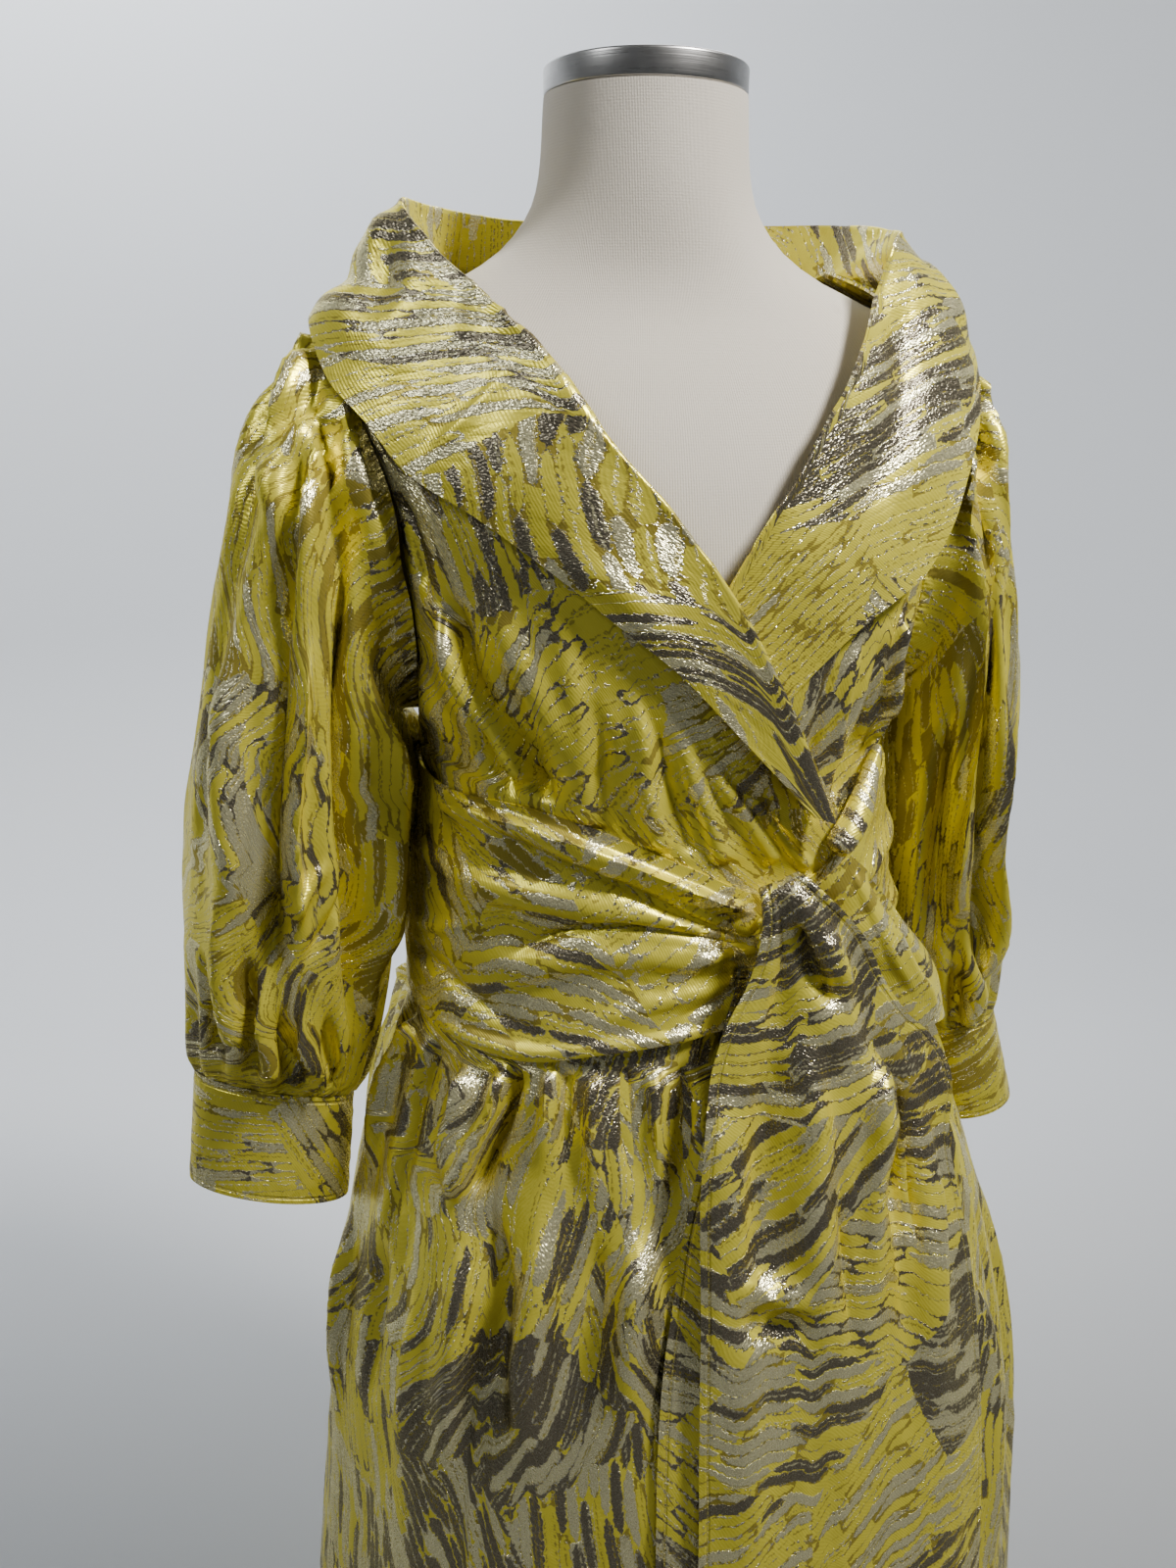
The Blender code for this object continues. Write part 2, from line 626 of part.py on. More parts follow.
def sleeve_ring(rows, side, length, turn, swell=0.0):
    """A point on a sleeve's oval ring; turn 0 is outward and up, 90 is the front."""
    centre_x, centre_y, centre_z, lean, pitch, half_height, half_depth = along(rows, length)
    lean = math.radians(lean)
    pitch = math.radians(pitch)
    turn = math.radians(turn)
    outward = Vector((side * math.cos(lean), 0.0, math.sin(lean)))
    forward = Vector((0.0, -math.cos(pitch), math.sin(pitch)))
    centre = Vector((side * centre_x, centre_y, centre_z))
    reach = outward * (half_height * math.cos(turn)) + forward * (half_depth * math.sin(turn))
    return centre + reach + reach.normalized() * swell


def sleeve_swell(length, turn):
    """Pleats from the head, then gathers into the cuff."""
    signed = (turn + 180.0) % 360.0 - 180.0
    total = 0.0
    for head_turn, low_turn, width, rise, fade in SLEEVE_PLEATS:
        centre = blend(head_turn, low_turn, length)
        aside = (signed - centre) / (width * (1.0 + PLEAT_SPREAD * length))
        shown = ease(length / PLEAT_EASE) * ease((fade - length) / PLEAT_FADE)
        total += rise * math.exp(-aside * aside) * shown
    gathered = ease((length - CUFF_GATHERS_FROM) / CUFF_GATHERS_OVER)
    eased = 1.0 - CUFF_SEAM_EASE * ease((length - CUFF_SEAM_FROM) / CUFF_SEAM_OVER)
    wave = math.cos(math.radians(CUFF_GATHERS * turn + CUFF_GATHER_TURN))
    return total + CUFF_GATHER_RISE * gathered * eased * wave


def sleeve_point(rows, side, around, down):
    turn = 360.0 * around
    ring = sleeve_ring(rows, side, down, turn, sleeve_swell(down, turn))
    angle, height = along(ARMHOLE, turn)
    base = 0.0
    if turn < 180.0:
        base = panel_lift(side, side * angle, height)
    seam = skin(side * angle, height, base + SLEEVE_SEAM_LIFT)
    return seam.lerp(ring, ease(down / HEAD_EASE))


def cuff_point(rows, side, around, down):
    return sleeve_ring(rows, side, down, 360.0 * around)


def skirt_swell(angle, height):
    """Gathers under the sash that open into soft flutes towards the hem."""
    below = GATHER_TOP - height
    turn = math.radians(angle)
    gathered = ease(below / GATHER_STARTS) * ease((GATHER_ENDS - below) / GATHER_FADE)
    wave = 0.5 + 0.5 * math.cos(GATHER_COUNT * turn + GATHER_DRIFT * math.sin(3.0 * turn))
    flutes = FLUTE_MEAN
    for count, share, phase in FLUTES:
        flutes += share * math.cos(count * turn + phase)
    gathers = GATHER_RISE * gathered * wave
    return gathers + SWING_RISE * flutes * ease((below - FLUTE_STARTS) / FLUTE_FADE)


def skirt_height(down):
    """Rows lie closer together near the waist, where the skirt curves most."""
    return blend(WAIST - WAIST_GAP / 2.0, HEM, down**SKIRT_ROWS)


def skirt_point(angle, down, inset):
    height = skirt_height(down)
    return skin(angle, height, inset + skirt_swell(angle, height))


def skirt_over(across, down):
    angle = blend(-90.0 + seam_angle(skirt_height(down)), WRAP_EDGE, across)
    lift = WRAP_LIFT * ease((angle + WRAP_RISE_FROM) / WRAP_RISE_OVER)
    return skirt_point(angle, down, lift)


def skirt_under(across, down):
    angle = blend(UNDER_EDGE, 90.0 - seam_angle(skirt_height(down)), across)
    return skirt_point(angle, down, 0.0)


def skirt_back(across, down):
    gap = seam_angle(skirt_height(down))
    return skirt_point(blend(90.0 + gap, 270.0 - gap, across), down, 0.0)


def sash_lift(angle):
    rise = ease((angle + SASH_RISE_FROM) / SASH_RISE_OVER)
    front = rise * ease((SASH_FALL_FROM - angle) / SASH_FALL_OVER)
    return blend(SASH_SIDE_LIFT, SASH_FRONT_LIFT, front)


def sash_swell(angle, part):
    total = 0.0
    place = to_flat(angle, part * SASH_DEPTH)
    for start_angle, start_part, end_angle, end_part, width, rise in SASH_FOLDS:
        start = to_flat(start_angle, start_part * SASH_DEPTH)
        end = to_flat(end_angle, end_part * SASH_DEPTH)
        total += rise * ridge(place, start, end, width)
    return total


def sash_point(around, down):
    angle = blend(-180.0, 180.0, around)
    top, bottom = along(SASH_EDGES, angle)
    height = blend(top, bottom, down)
    return skin(angle, height, sash_lift(angle) + sash_swell(angle, 1.0 - down))


def strip_point(rows, across, down):
    """A place on a hanging strip, between its left and right edges."""
    left_angle, left_height, left_lift, right_angle, right_height, right_lift = along(rows, down)[0:6]
    angle = blend(left_angle, right_angle, across)
    height = blend(left_height, right_height, across)
    return angle, height, blend(left_lift, right_lift, across)


def tail_front(across, down):
    angle, height, lift = strip_point(TAIL_FRONT, across, down)
    for top_across, hem_across, start, end, width, rise in TAIL_FOLDS:
        centre = blend(top_across, hem_across, down)
        aside = (across - centre) / width
        shown = ease((down - start) / TAIL_FOLD_STARTS) * ease((end - down) / TAIL_FOLD_FADES)
        lift += rise * math.exp(-aside * aside) * shown
    return skin(angle, height, lift + skirt_swell(angle, height))


def tail_back(across, down):
    angle, height, lift = strip_point(TAIL_BACK, across, down)
    return skin(angle, height, lift + skirt_swell(angle, height))


def loop_point(across, down):
    angle, height, lift = strip_point(LOOP, across, down)
    arch = along(LOOP, down)[6]
    return skin(angle, height, lift + arch * math.sin(math.pi * across))


def link(collection, name, mesh, finish):
    part = bpy.data.objects.new(name, mesh)
    part.data.materials.append(finish)
    collection.objects.link(part)
    return part


def cloth(collection, name, point, across, down, finish, wall=CLOTH, tube=False, flip=False, middle=False):
    """A sheet bent through point(across, down), thickened away from the body."""
    sheet = bmesh.new()
    bmesh.ops.create_grid(sheet, x_segments=across, y_segments=down, size=0.5)
    for vertex in sheet.verts:
        vertex.co = point(vertex.co.x + 0.5, vertex.co.y + 0.5)
    if tube:
        bmesh.ops.remove_doubles(sheet, verts=sheet.verts, dist=0.00002)
    if flip:
        bmesh.ops.reverse_faces(sheet, faces=sheet.faces)
    for face in sheet.faces:
        face.smooth = True
    mesh = bpy.data.meshes.new(name)
    sheet.to_mesh(mesh)
    sheet.free()
    part = link(collection, name, mesh, finish)
    solid = part.modifiers.new("Cloth", "SOLIDIFY")
    solid.thickness = wall
    solid.offset = 0.0 if middle else 1.0
    return part


def build_form(collection, finish):
    """The torso is a turned oval, closed top and bottom."""
    heights = [row[0] for row in FORM_RINGS]
    body = bmesh.new()
    sides = TORSO_SEGMENTS
    bmesh.ops.create_cone(body, cap_ends=True, segments=sides, radius1=1.0, radius2=1.0, depth=1.0)
    rim = [edge for edge in body.edges if abs(edge.verts[0].co.z - edge.verts[1].co.z) > 0.5]
    bmesh.ops.subdivide_edges(body, edges=rim, cuts=len(heights) - 2)
    for vertex in body.verts:
        level = round((vertex.co.z + 0.5) * (len(heights) - 1))
        angle = math.degrees(math.atan2(vertex.co.x, -vertex.co.y))
        vertex.co = ring_point(FORM_RINGS, angle, heights[level])
    for face in body.faces:
        face.smooth = len(face.verts) == 4
    mesh = bpy.data.meshes.new("form_torso")
    body.to_mesh(mesh)
    body.free()
    return link(collection, "form_torso", mesh, finish)


def build_round(collection, name, radius, bottom, depth, segments, edge, finish):
    """A turned disc or post with an eased rim."""
    body = bmesh.new()
    bmesh.ops.create_cone(
        body, cap_ends=True, segments=segments, radius1=radius, radius2=radius, depth=depth
    )
    mesh = bpy.data.meshes.new(name)
    body.to_mesh(mesh)
    body.free()
    part = link(collection, name, mesh, finish)
    part.location = (0.0, 0.0, bottom + depth / 2.0)
    if edge > 0.0:
        bevel = part.modifiers.new("Eased rim", "BEVEL")
        bevel.width = edge
        bevel.segments = 1
        bevel.limit_method = "ANGLE"
    return part


def build_roll(collection, finish):
    """The rolled sash is a tube whose radius follows its path."""
    curve = bpy.data.curves.new("sash_roll", "CURVE")
    curve.dimensions = "3D"
    curve.bevel_depth = 1.0
    curve.bevel_resolution = ROLL_SIDES
    curve.use_fill_caps = True
    spline = curve.splines.new("POLY")
    spline.points.add(ROLL_STEPS)
    rows = [(number, *row) for number, row in enumerate(ROLL_PATH)]
    for index in range(ROLL_STEPS + 1):
        angle, height, lift, radius = along(rows, index / ROLL_STEPS * (len(ROLL_PATH) - 1))
        spline.points[index].co = (*skin(angle, height, lift), 1.0)
        spline.points[index].radius = radius
    part = link(collection, "sash_roll", curve, finish)
    weld = part.modifiers.new("Closed ends", "WELD")
    weld.merge_threshold = 0.00005
    return part


def build_knot(collection, finish):
    """A flattened, ridged lump between the sash band and the front tail."""
    lump = bmesh.new()
    bmesh.ops.create_uvsphere(lump, u_segments=KNOT_SEGMENTS, v_segments=KNOT_RINGS, radius=1.0)
    centre = skin(KNOT_ANGLE, KNOT_HEIGHT, KNOT_LIFT)
    outward = (skin(KNOT_ANGLE, KNOT_HEIGHT, 0.1) - centre).normalized()
    sideways = Vector((0.0, 0.0, 1.0)).cross(outward).normalized()
    upward = outward.cross(sideways)
    for vertex in lump.verts:
        x, y, z = vertex.co
        ridged = 1.0 + KNOT_RIDGE_RISE * math.cos(KNOT_RIDGES * math.pi * z) * (1.0 - z * z)
        offset = sideways * (x * KNOT_HALF_WIDTH) + upward * (z * KNOT_HALF_HEIGHT)
        vertex.co = centre + (offset - outward * (y * KNOT_HALF_DEPTH)) * ridged
    for face in lump.faces:
        face.smooth = True
    mesh = bpy.data.meshes.new("sash_knot")
    bmesh.ops.recalc_face_normals(lump, faces=lump.faces)
    lump.to_mesh(mesh)
    lump.free()
    return link(collection, "sash_knot", mesh, finish)


def build_gown():
    clear_scene()
    gown = make_collection("evening_gown")
    jersey = make_finish("jersey", JERSEY)
    steel = make_finish("brushed_steel", STEEL)

    def jacquard(name):
        return make_finish("jacquard_" + name, JACQUARD)

    build_form(gown, jersey)
    pole_steel = make_finish("pole", STEEL)
    base_steel = make_finish("base", STEEL)
    build_round(gown, "form_cap", CAP_RADIUS, CAP_BOTTOM, CAP_HEIGHT, CAP_SEGMENTS, CAP_EDGE, steel)
    pole_bottom = BASE_THICKNESS + SEAT_GAP
    pole_height = FORM_RINGS[0][0] - SEAT_GAP - pole_bottom
    build_round(gown, "form_pole", POLE_RADIUS, pole_bottom, pole_height, POLE_SEGMENTS, 0.0, pole_steel)
    build_round(gown, "form_base", BASE_RADIUS, 0.0, BASE_THICKNESS, BASE_SEGMENTS, BASE_EDGE, base_steel)

    cloth(gown, "bodice_front_right", over_front, 14, 15, jacquard("bodice_front_right"))
    cloth(gown, "bodice_front_left", under_front, 14, 15, jacquard("bodice_front_left"))
    cloth(gown, "bodice_back", back_panel, 18, 11, jacquard("bodice_back"), flip=True)

    for side, name, rows in ((-1, "right", COLLAR_RIGHT), (1, "left", COLLAR_LEFT)):
        length = rows[-1][0]

        def collar(across, part, rows=rows, side=side, length=length):
            return collar_point(rows, side, across, part * length)

        finish = jacquard("collar_" + name)
        cloth(gown, "collar_" + name, collar, 9, 20, finish, COLLAR_CLOTH, middle=True)

    sleeves = ((-1, "right", SLEEVE_RIGHT, CUFF_RIGHT), (1, "left", SLEEVE_LEFT, CUFF_LEFT))
    for side, name, sleeve_rows, cuff_rows in sleeves:

        def sleeve(around, down, rows=sleeve_rows, side=side):
            return sleeve_point(rows, side, around, down)

        def cuff(around, down, rows=cuff_rows, side=side):
            return cuff_point(rows, side, around, down)

        left = side > 0
        cloth(gown, "sleeve_" + name, sleeve, 48, 9, jacquard("sleeve_" + name), tube=True, flip=left)
        cloth(gown, "cuff_" + name, cuff, 24, 2, jacquard("cuff_" + name), tube=True, flip=left)

    cloth(gown, "skirt_front_right", skirt_over, 24, 9, jacquard("skirt_front_right"), flip=True)
    cloth(gown, "skirt_front_left", skirt_under, 22, 9, jacquard("skirt_front_left"), flip=True)
    cloth(gown, "skirt_back", skirt_back, 33, 9, jacquard("skirt_back"), flip=True)

    cloth(gown, "sash_band", sash_point, 48, 6, jacquard("sash_band"), tube=True, flip=True)
    cloth(gown, "tail_front", tail_front, 12, 17, jacquard("tail_front"), flip=True)
    cloth(gown, "tail_back", tail_back, 6, 10, jacquard("tail_back"), flip=True)
    cloth(gown, "sash_loop", loop_point, 6, 8, jacquard("sash_loop"), flip=True)
    build_roll(gown, jacquard("sash_roll"))
    build_knot(gown, jacquard("sash_knot"))


build_gown()
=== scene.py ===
# %% [markdown]
# # A wrap evening gown on a dress form
# The gown is cut from a heavy metallic jacquard. It has a wide portrait collar, puffed elbow
# sleeves on narrow cuffs, a crossed bodice, a long gathered skirt and a sash knotted at the side.
# It stands on a limbless dress form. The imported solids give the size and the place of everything,
# so they are loaded first, and each piece here is built on the same named measures.

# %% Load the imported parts
import math
from functools import partial

import bpy
import numpy as np
from mathutils import Matrix, Vector, noise


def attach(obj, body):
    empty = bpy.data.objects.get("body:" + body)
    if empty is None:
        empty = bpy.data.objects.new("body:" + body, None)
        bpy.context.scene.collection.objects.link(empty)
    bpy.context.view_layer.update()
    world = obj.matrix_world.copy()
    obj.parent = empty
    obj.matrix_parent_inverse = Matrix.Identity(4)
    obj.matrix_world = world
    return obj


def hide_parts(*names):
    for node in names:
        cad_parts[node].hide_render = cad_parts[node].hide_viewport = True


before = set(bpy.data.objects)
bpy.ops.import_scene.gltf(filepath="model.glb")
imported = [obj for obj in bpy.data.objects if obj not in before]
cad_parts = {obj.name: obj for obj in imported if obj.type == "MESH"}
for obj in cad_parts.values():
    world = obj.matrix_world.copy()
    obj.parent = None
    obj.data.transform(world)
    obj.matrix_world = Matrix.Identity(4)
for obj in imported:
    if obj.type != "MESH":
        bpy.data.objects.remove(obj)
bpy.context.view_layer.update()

bpy.ops.object.select_all(action="DESELECT")

# %% [markdown]
# ## The camera
# The picture was taken from chest height, about 0.75 m away, looking a little down and a little
# to the side. A short lens at that distance makes the collar look large and the skirt recede,
# so the distance matters as much as the angle. The camera's axes are written as a matrix,
# because its heading, its pitch and its small roll can then be set one by one.

# %% Set the camera
CAMERA_PLACE = (-0.1310, -0.7431, 1.3795)
CAMERA_HEADING = 7.69
CAMERA_PITCH = 19.62
CAMERA_ROLL = 0.3
CAMERA_LENS = 27.05
CAMERA_NEAREST = 0.05


def aim_camera(camera):
    heading, pitch, roll = map(math.radians, (CAMERA_HEADING, CAMERA_PITCH, CAMERA_ROLL))
    level = math.cos(pitch)
    ahead = Vector((math.sin(heading) * level, math.cos(heading) * level, -math.sin(pitch)))
    right = Vector((math.cos(heading), -math.sin(heading), 0.0))
    above = right.cross(ahead)
    right_rolled = right * math.cos(roll) + above * math.sin(roll)
    above_rolled = above * math.cos(roll) - right * math.sin(roll)
    place = Matrix((right_rolled, above_rolled, -ahead)).transposed().to_4x4()
    place.translation = Vector(CAMERA_PLACE)
    camera.matrix_world = place


bpy.ops.object.camera_add()
camera = bpy.context.object
camera.name = "camera"
camera.data.lens = CAMERA_LENS
camera.data.clip_start = CAMERA_NEAREST
aim_camera(camera)
bpy.context.scene.camera = camera
print("camera at", tuple(round(value, 3) for value in camera.location))

# %% [markdown]
# ## Small helpers for materials
# A material is a net of nodes. Here the output of a node is a wire, and wires can be added,
# subtracted and multiplied like numbers: each such step adds the Math node that works it out. So
# the later cells can be read as formulas.

# %% Wires and nodes
class Wire:
    """The output of a node, which the next node can be fed with."""

    def __init__(self, socket):
        self.socket = socket
        self.tree = socket.id_data

    def __add__(self, other):
        return maths("ADD", self, other)

    def __sub__(self, other):
        return maths("SUBTRACT", self, other)

    def __mul__(self, other):
        return maths("MULTIPLY", self, other)


def feed(node, sockets):
    """Set inputs by name or number, each with a wire or with a plain value."""
    for name, value in sockets.items():
        if isinstance(value, Wire):
            node.id_data.links.new(value.socket, node.inputs[name])
        else:
            node.inputs[name].default_value = value


def wires(node):
    """The outputs of a node by number and by name."""
    found = [Wire(socket) for socket in node.outputs]
    return {**dict(enumerate(found)), **{wire.socket.name: wire for wire in found}}


def add_node(tree, kind, sockets=None, **settings):
    made = tree.nodes.new("ShaderNode" + kind)
    for name, value in settings.items():
        setattr(made, name, value)
    feed(made, sockets or {})
    return wires(made)


def maths(operation, *values, clamp=False):
    """A Math node beside the node that its first value comes from."""
    return add_node(values[0].tree, "Math", dict(enumerate(values)), operation=operation, use_clamp=clamp)[0]


def mix(mask, low, high):
    """The colour low where the mask is 0 and high where it is 1."""
    return add_node(mask.tree, "Mix", {"Factor": mask, 6: low, 7: high}, data_type="RGBA")[2]


def step_mask(value, low, high):
    """A soft threshold from 0 at low to 1 at high."""
    sockets = {"Value": value, "From Min": low, "From Max": high}
    return add_node(value.tree, "MapRange", sockets, interpolation_type="SMOOTHSTEP")["Result"]


def grain(place, scale, detail, dimensions="3D"):
    sockets = {"Vector": place, "Scale": scale, "Detail": detail}
    return add_node(place.tree, "TexNoise", sockets, noise_dimensions=dimensions)


def bump(height, distance, strength):
    sockets = {"Height": height, "Distance": distance, "Strength": strength}
    return add_node(height.tree, "Bump", sockets)["Normal"]


def new_group(name, outputs, inputs):
    """An empty group of nodes, the wires that come into it and the node that its results go to."""
    group = bpy.data.node_groups.new(name, "ShaderNodeTree")
    for way, sockets in (("INPUT", inputs), ("OUTPUT", outputs)):
        for label, kind in sockets.items():
            group.interface.new_socket(label, in_out=way, socket_type="NodeSocket" + kind)
    return group, wires(group.nodes.new("NodeGroupInput")), group.nodes.new("NodeGroupOutput")


def new_material(name):
    material = bpy.data.materials.new(name)
    material.use_nodes = True
    return material, material.node_tree, material.node_tree.nodes["Principled BSDF"]


def dress(piece, node, material):
    """Give a piece its material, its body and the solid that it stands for."""
    piece.data.materials.append(material)
    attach(piece, "root")
    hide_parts(node)


def select_only(piece):
    bpy.ops.object.select_all(action="DESELECT")
    piece.select_set(True)
    bpy.context.view_layer.objects.active = piece


print("helpers ready")

# %% [markdown]
# ## The stage
# The gown stands in a plain round studio: a pale floor that curves up into a pale wall. The part in front of
# the gown carries a painted shade, darker towards the camera, which the metallic cloth mirrors as a dim room.
# It is modelled as by hand from a filled circle whose rim is extruded outwards and up in small steps,
# and it isn't part of the object. The wall is wide enough for a camera to walk round inside it.

# %% Floor and wall in one sweep
STUDIO_SIDES = 96
STUDIO_RADIUS = 2.6
COVE_RADIUS = 0.6
COVE_STEPS = 8
WALL_HEIGHT = 4.0
STAGE_COLOUR = (0.80, 0.82, 0.85, 1.0)
STAGE_PAINTED_SHADE = (0.20, 0.205, 0.21, 1.0)
# Depths in the room between which the painted shade in front turns into the full colour
SHADE_ENDS = (-0.4, 1.4)
STAGE_ROUGHNESS = 0.9


def build_studio():
    bpy.ops.mesh.primitive_circle_add(vertices=STUDIO_SIDES, radius=STUDIO_RADIUS, fill_type="NGON")
    studio = bpy.context.object
    studio.name = "studio"
    bpy.ops.object.mode_set(mode="EDIT")
    bpy.ops.mesh.select_mode(type="EDGE")
    reach = STUDIO_RADIUS
    for step in range(1, COVE_STEPS + 1):
        turn = math.pi / 2 * step / COVE_STEPS
        wider = STUDIO_RADIUS + COVE_RADIUS * math.sin(turn)
        rise = COVE_RADIUS * (math.cos(turn - math.pi / 2 / COVE_STEPS) - math.cos(turn))
        bpy.ops.mesh.extrude_edges_move()
        bpy.ops.transform.resize(value=(wider / reach, wider / reach, 1.0))
        bpy.ops.transform.translate(value=(0.0, 0.0, rise))
        reach = wider
        bpy.ops.mesh.select_mode(type="EDGE")
    bpy.ops.mesh.extrude_edges_move(TRANSFORM_OT_translate={"value": (0.0, 0.0, WALL_HEIGHT)})
    bpy.ops.mesh.select_all(action="SELECT")
    bpy.ops.mesh.normals_make_consistent(inside=True)
    bpy.ops.object.mode_set(mode="OBJECT")
    bpy.ops.object.shade_smooth()
    return studio


def build_paint():
    paint, tree, shader = new_material("studio_paint")
    depth = add_node(tree, "SeparateXYZ", {"Vector": add_node(tree, "TexCoord")["Object"]})["Y"]
    # Painted shade: the studio is dark in front of the gown and pale behind it
    tone = mix(step_mask(depth, *SHADE_ENDS), STAGE_PAINTED_SHADE, STAGE_COLOUR)
    feed(shader, {"Base Color": tone, "Roughness": STAGE_ROUGHNESS})
    return paint


studio = build_studio()
studio.data.materials.append(build_paint())
print("studio faces:", len(studio.data.polygons))

# %% [markdown]
# ## Soft studio light
# Metallic cloth shows mostly what it mirrors, so the lamps matter as much as the colours. A strong
# lamp hangs above and to the camera's right, a weaker one fills from the left, a third one from
# behind draws the edges, and a fourth one lights the wall.

# %% Lamps and the room's own light
# Name, place, target, size, power, colour
LAMPS = (
    ("key", (0.85, -0.75, 2.60), (0.03, 0.0, 1.10), 0.34, 64.0, (1.0, 0.985, 0.96)),
    ("fill", (-1.25, -0.65, 2.50), (-0.05, 0.0, 1.1), 0.50, 10.0, (0.95, 0.98, 1.0)),
    ("back", (0.5, 1.3, 2.6), (0.0, 0.0, 1.1), 0.8, 9.0, (1.0, 1.0, 1.0)),
    ("wall", (-0.9, 1.7, 3.4), (-0.6, 3.2, 2.0), 1.2, 80.0, (0.94, 0.97, 1.0)),
)
ROOM_LIGHT = (0.80, 0.83, 0.87, 1.0)
ROOM_STRENGTH = 0.04


def hang_lamp(name, place, target, size, power, colour):
    bpy.ops.object.light_add(type="AREA", location=place)
    lamp = bpy.context.object
    lamp.name = "lamp_" + name
    lamp.data.shape = "DISK"
    lamp.data.size = size
    lamp.data.energy = power
    lamp.data.color = colour
    direction = Vector(target) - Vector(place)
    lamp.rotation_euler = direction.to_track_quat("-Z", "Y").to_euler()


for lamp in LAMPS:
    hang_lamp(*lamp)
world = bpy.data.worlds.new("studio_light")
world.use_nodes = True
feed(world.node_tree.nodes["Background"], {"Color": ROOM_LIGHT, "Strength": ROOM_STRENGTH})
bpy.context.scene.world = world
print("lamps:", len(LAMPS))

# %% [markdown]
# ## Measures of the body under the gown
# The gown is described on the body it wraps. A place is an angle round the body (0 at the front,
# 90 at the wearer's left), a height, and a lift off the skin. The body itself is a stack of ovals
# in a table, read smoothly between its rows. These are the measures that the solids were built
# from, so every piece of cloth lands on its own solid. Whole arrays of places are worked out at
# once, because a fine cloth has tens of thousands of points. The tables are written in percent,
# millimetres and degrees, and are turned into shares and metres as they are made.

# %% Ovals of the gown's skin and reading a table smoothly
UNITS = {"%": 100.0, "mm": 1000.0, "deg": 1.0}
# Small steps, in degrees and metres, that the skin's normal is measured over
TURN_STEP = 0.25
HEIGHT_STEP = 0.0008
TINY = 1e-12


def table(units, *rows):
    return np.array(rows, float) / [UNITS[unit] for unit in units.split()]


# Height, half width, half depth, centre x, centre y
GOWN_RINGS = table(
    "mm mm mm mm mm",
    (20, 304, 274, 36, 0), (180, 296, 266, 36, -5), (360, 285, 254, 36, -10),
    (520, 272, 240, 35, -12), (660, 256, 222, 33, -15), (760, 239, 204, 30, -15),
    (840, 218, 183, 26, -15), (900, 195, 163, 21, -12), (940, 180, 150, 18, -10),
    (980, 168, 138, 15, -8), (1020, 160, 128, 13, -6), (1065, 153, 121, 11, -5),
    (1100, 149, 119, 10, -5), (1150, 145, 119, 9, -6), (1200, 150, 121, 9, -8),
    (1260, 162, 119, 8, -9), (1310, 170, 112, 6, -7), (1345, 178, 102.5, 4, -4),
    (1375, 184, 90, 2, -1), (1397, 181, 79, 0, 1), (1413, 155, 72, 0, 3), (1432, 112, 68, 0, 4),
    (1450, 84, 66, 0, 4),
)


def ease(value):
    """Rise from 0 to 1 with level ends."""
    value = np.clip(value, 0.0, 1.0)
    return value * value * (3.0 - 2.0 * value)


def blend(start, end, part):
    return start + (end - start) * part


def hermite(keys, values, key):
    """A smooth curve through values, which may differ from point to point."""
    key = np.clip(np.asarray(key, float), keys[0], keys[-1])
    near = np.clip(np.searchsorted(keys, key) - 1, 0, len(keys) - 2)
    far = near + 1
    before = np.maximum(near - 1, 0)
    after = np.minimum(near + 2, len(keys) - 1)
    span = (keys[far] - keys[near])[..., None]
    part = (key - keys[near])[..., None] / span
    slope_near = span * (values(far) - values(before)) / (keys[far] - keys[before])[..., None]
    slope_far = span * (values(after) - values(near)) / (keys[after] - keys[near])[..., None]
    rise = values(far) - values(near)
    curve = part * (1.0 - part) * ((slope_near - rise) * (1.0 - part) + (rise - slope_far) * part)
    return values(near) + rise * part + curve


def along(rows, key):
    """Read a table between its rows; the first column is the key, the others come back."""
    found = hermite(rows[:, 0], lambda index: rows[index, 1:], key)
    return np.moveaxis(found, -1, 0)


def ring_point(rows, angle, height):
    half_width, half_depth, centre_x, centre_y = along(rows, height)
    turn = np.radians(angle)
    x = centre_x + half_width * np.sin(turn)
    y = centre_y - half_depth * np.cos(turn)
    return np.stack([x, y, height + 0.0 * x], axis=-1)


def unit(vectors):
    return vectors / np.maximum(np.linalg.norm(vectors, axis=-1, keepdims=True), TINY)


def skin(angle, height, lift=0.0):
    """Points on the gown's skin, lifted along its normal."""
    angle, height, lift = np.broadcast_arrays(angle, height, lift)
    near = partial(ring_point, GOWN_RINGS)
    sideways = near(angle + TURN_STEP, height) - near(angle - TURN_STEP, height)
    upwards = near(angle, height + HEIGHT_STEP) - near(angle, height - HEIGHT_STEP)
    return near(angle, height) + unit(np.cross(sideways, upwards)) * lift[..., None]


WAIST = 1.065
print("waist oval:", [round(float(value), 4) for value in along(GOWN_RINGS, WAIST)])

# %% [markdown]
# ## A sheet of cloth
# Each cut piece of the gown is one fine grid bent into place. Its flat size is measured along its
# own rows and columns, folds included, and those lengths in metres become its UV map, so the
# woven pattern keeps its scale and dives into the folds as on real cloth. Creases are laid
# as lines on that flat size, each with its own width and rise. A crumple of fine noise follows.
# At last a Solidify modifier gives the cloth its thickness: outward on the body, both ways in the
# collar, and inward in the sleeves and cuffs, whose ovals are their outer face.

# %% Lay a grid and crease it
CLOTH = 0.0015
CREASE_STEPS = 14
CREASE_DEPTH = 1.35
CREASE_START = 0.55
LEAN_SHARE = 0.28
LEAN_STEEPER = 1.6
RIDGE_SLOPE = 2.6
PRESS_FADE = 0.045
TUBE_SEAM_FADE = 0.02


def creases(*rows):
    """Rows of width and rise (mm), lean, fade in and out (%), then points across and down (%)."""
    made = []
    for width, rise, lean, start, end, *points in rows:
        line = np.reshape(points, (-1, 2)) / 100.0
        made.append((line, width / 1000.0, rise / 1000.0, lean, start / 100.0, end / 100.0))
    return made


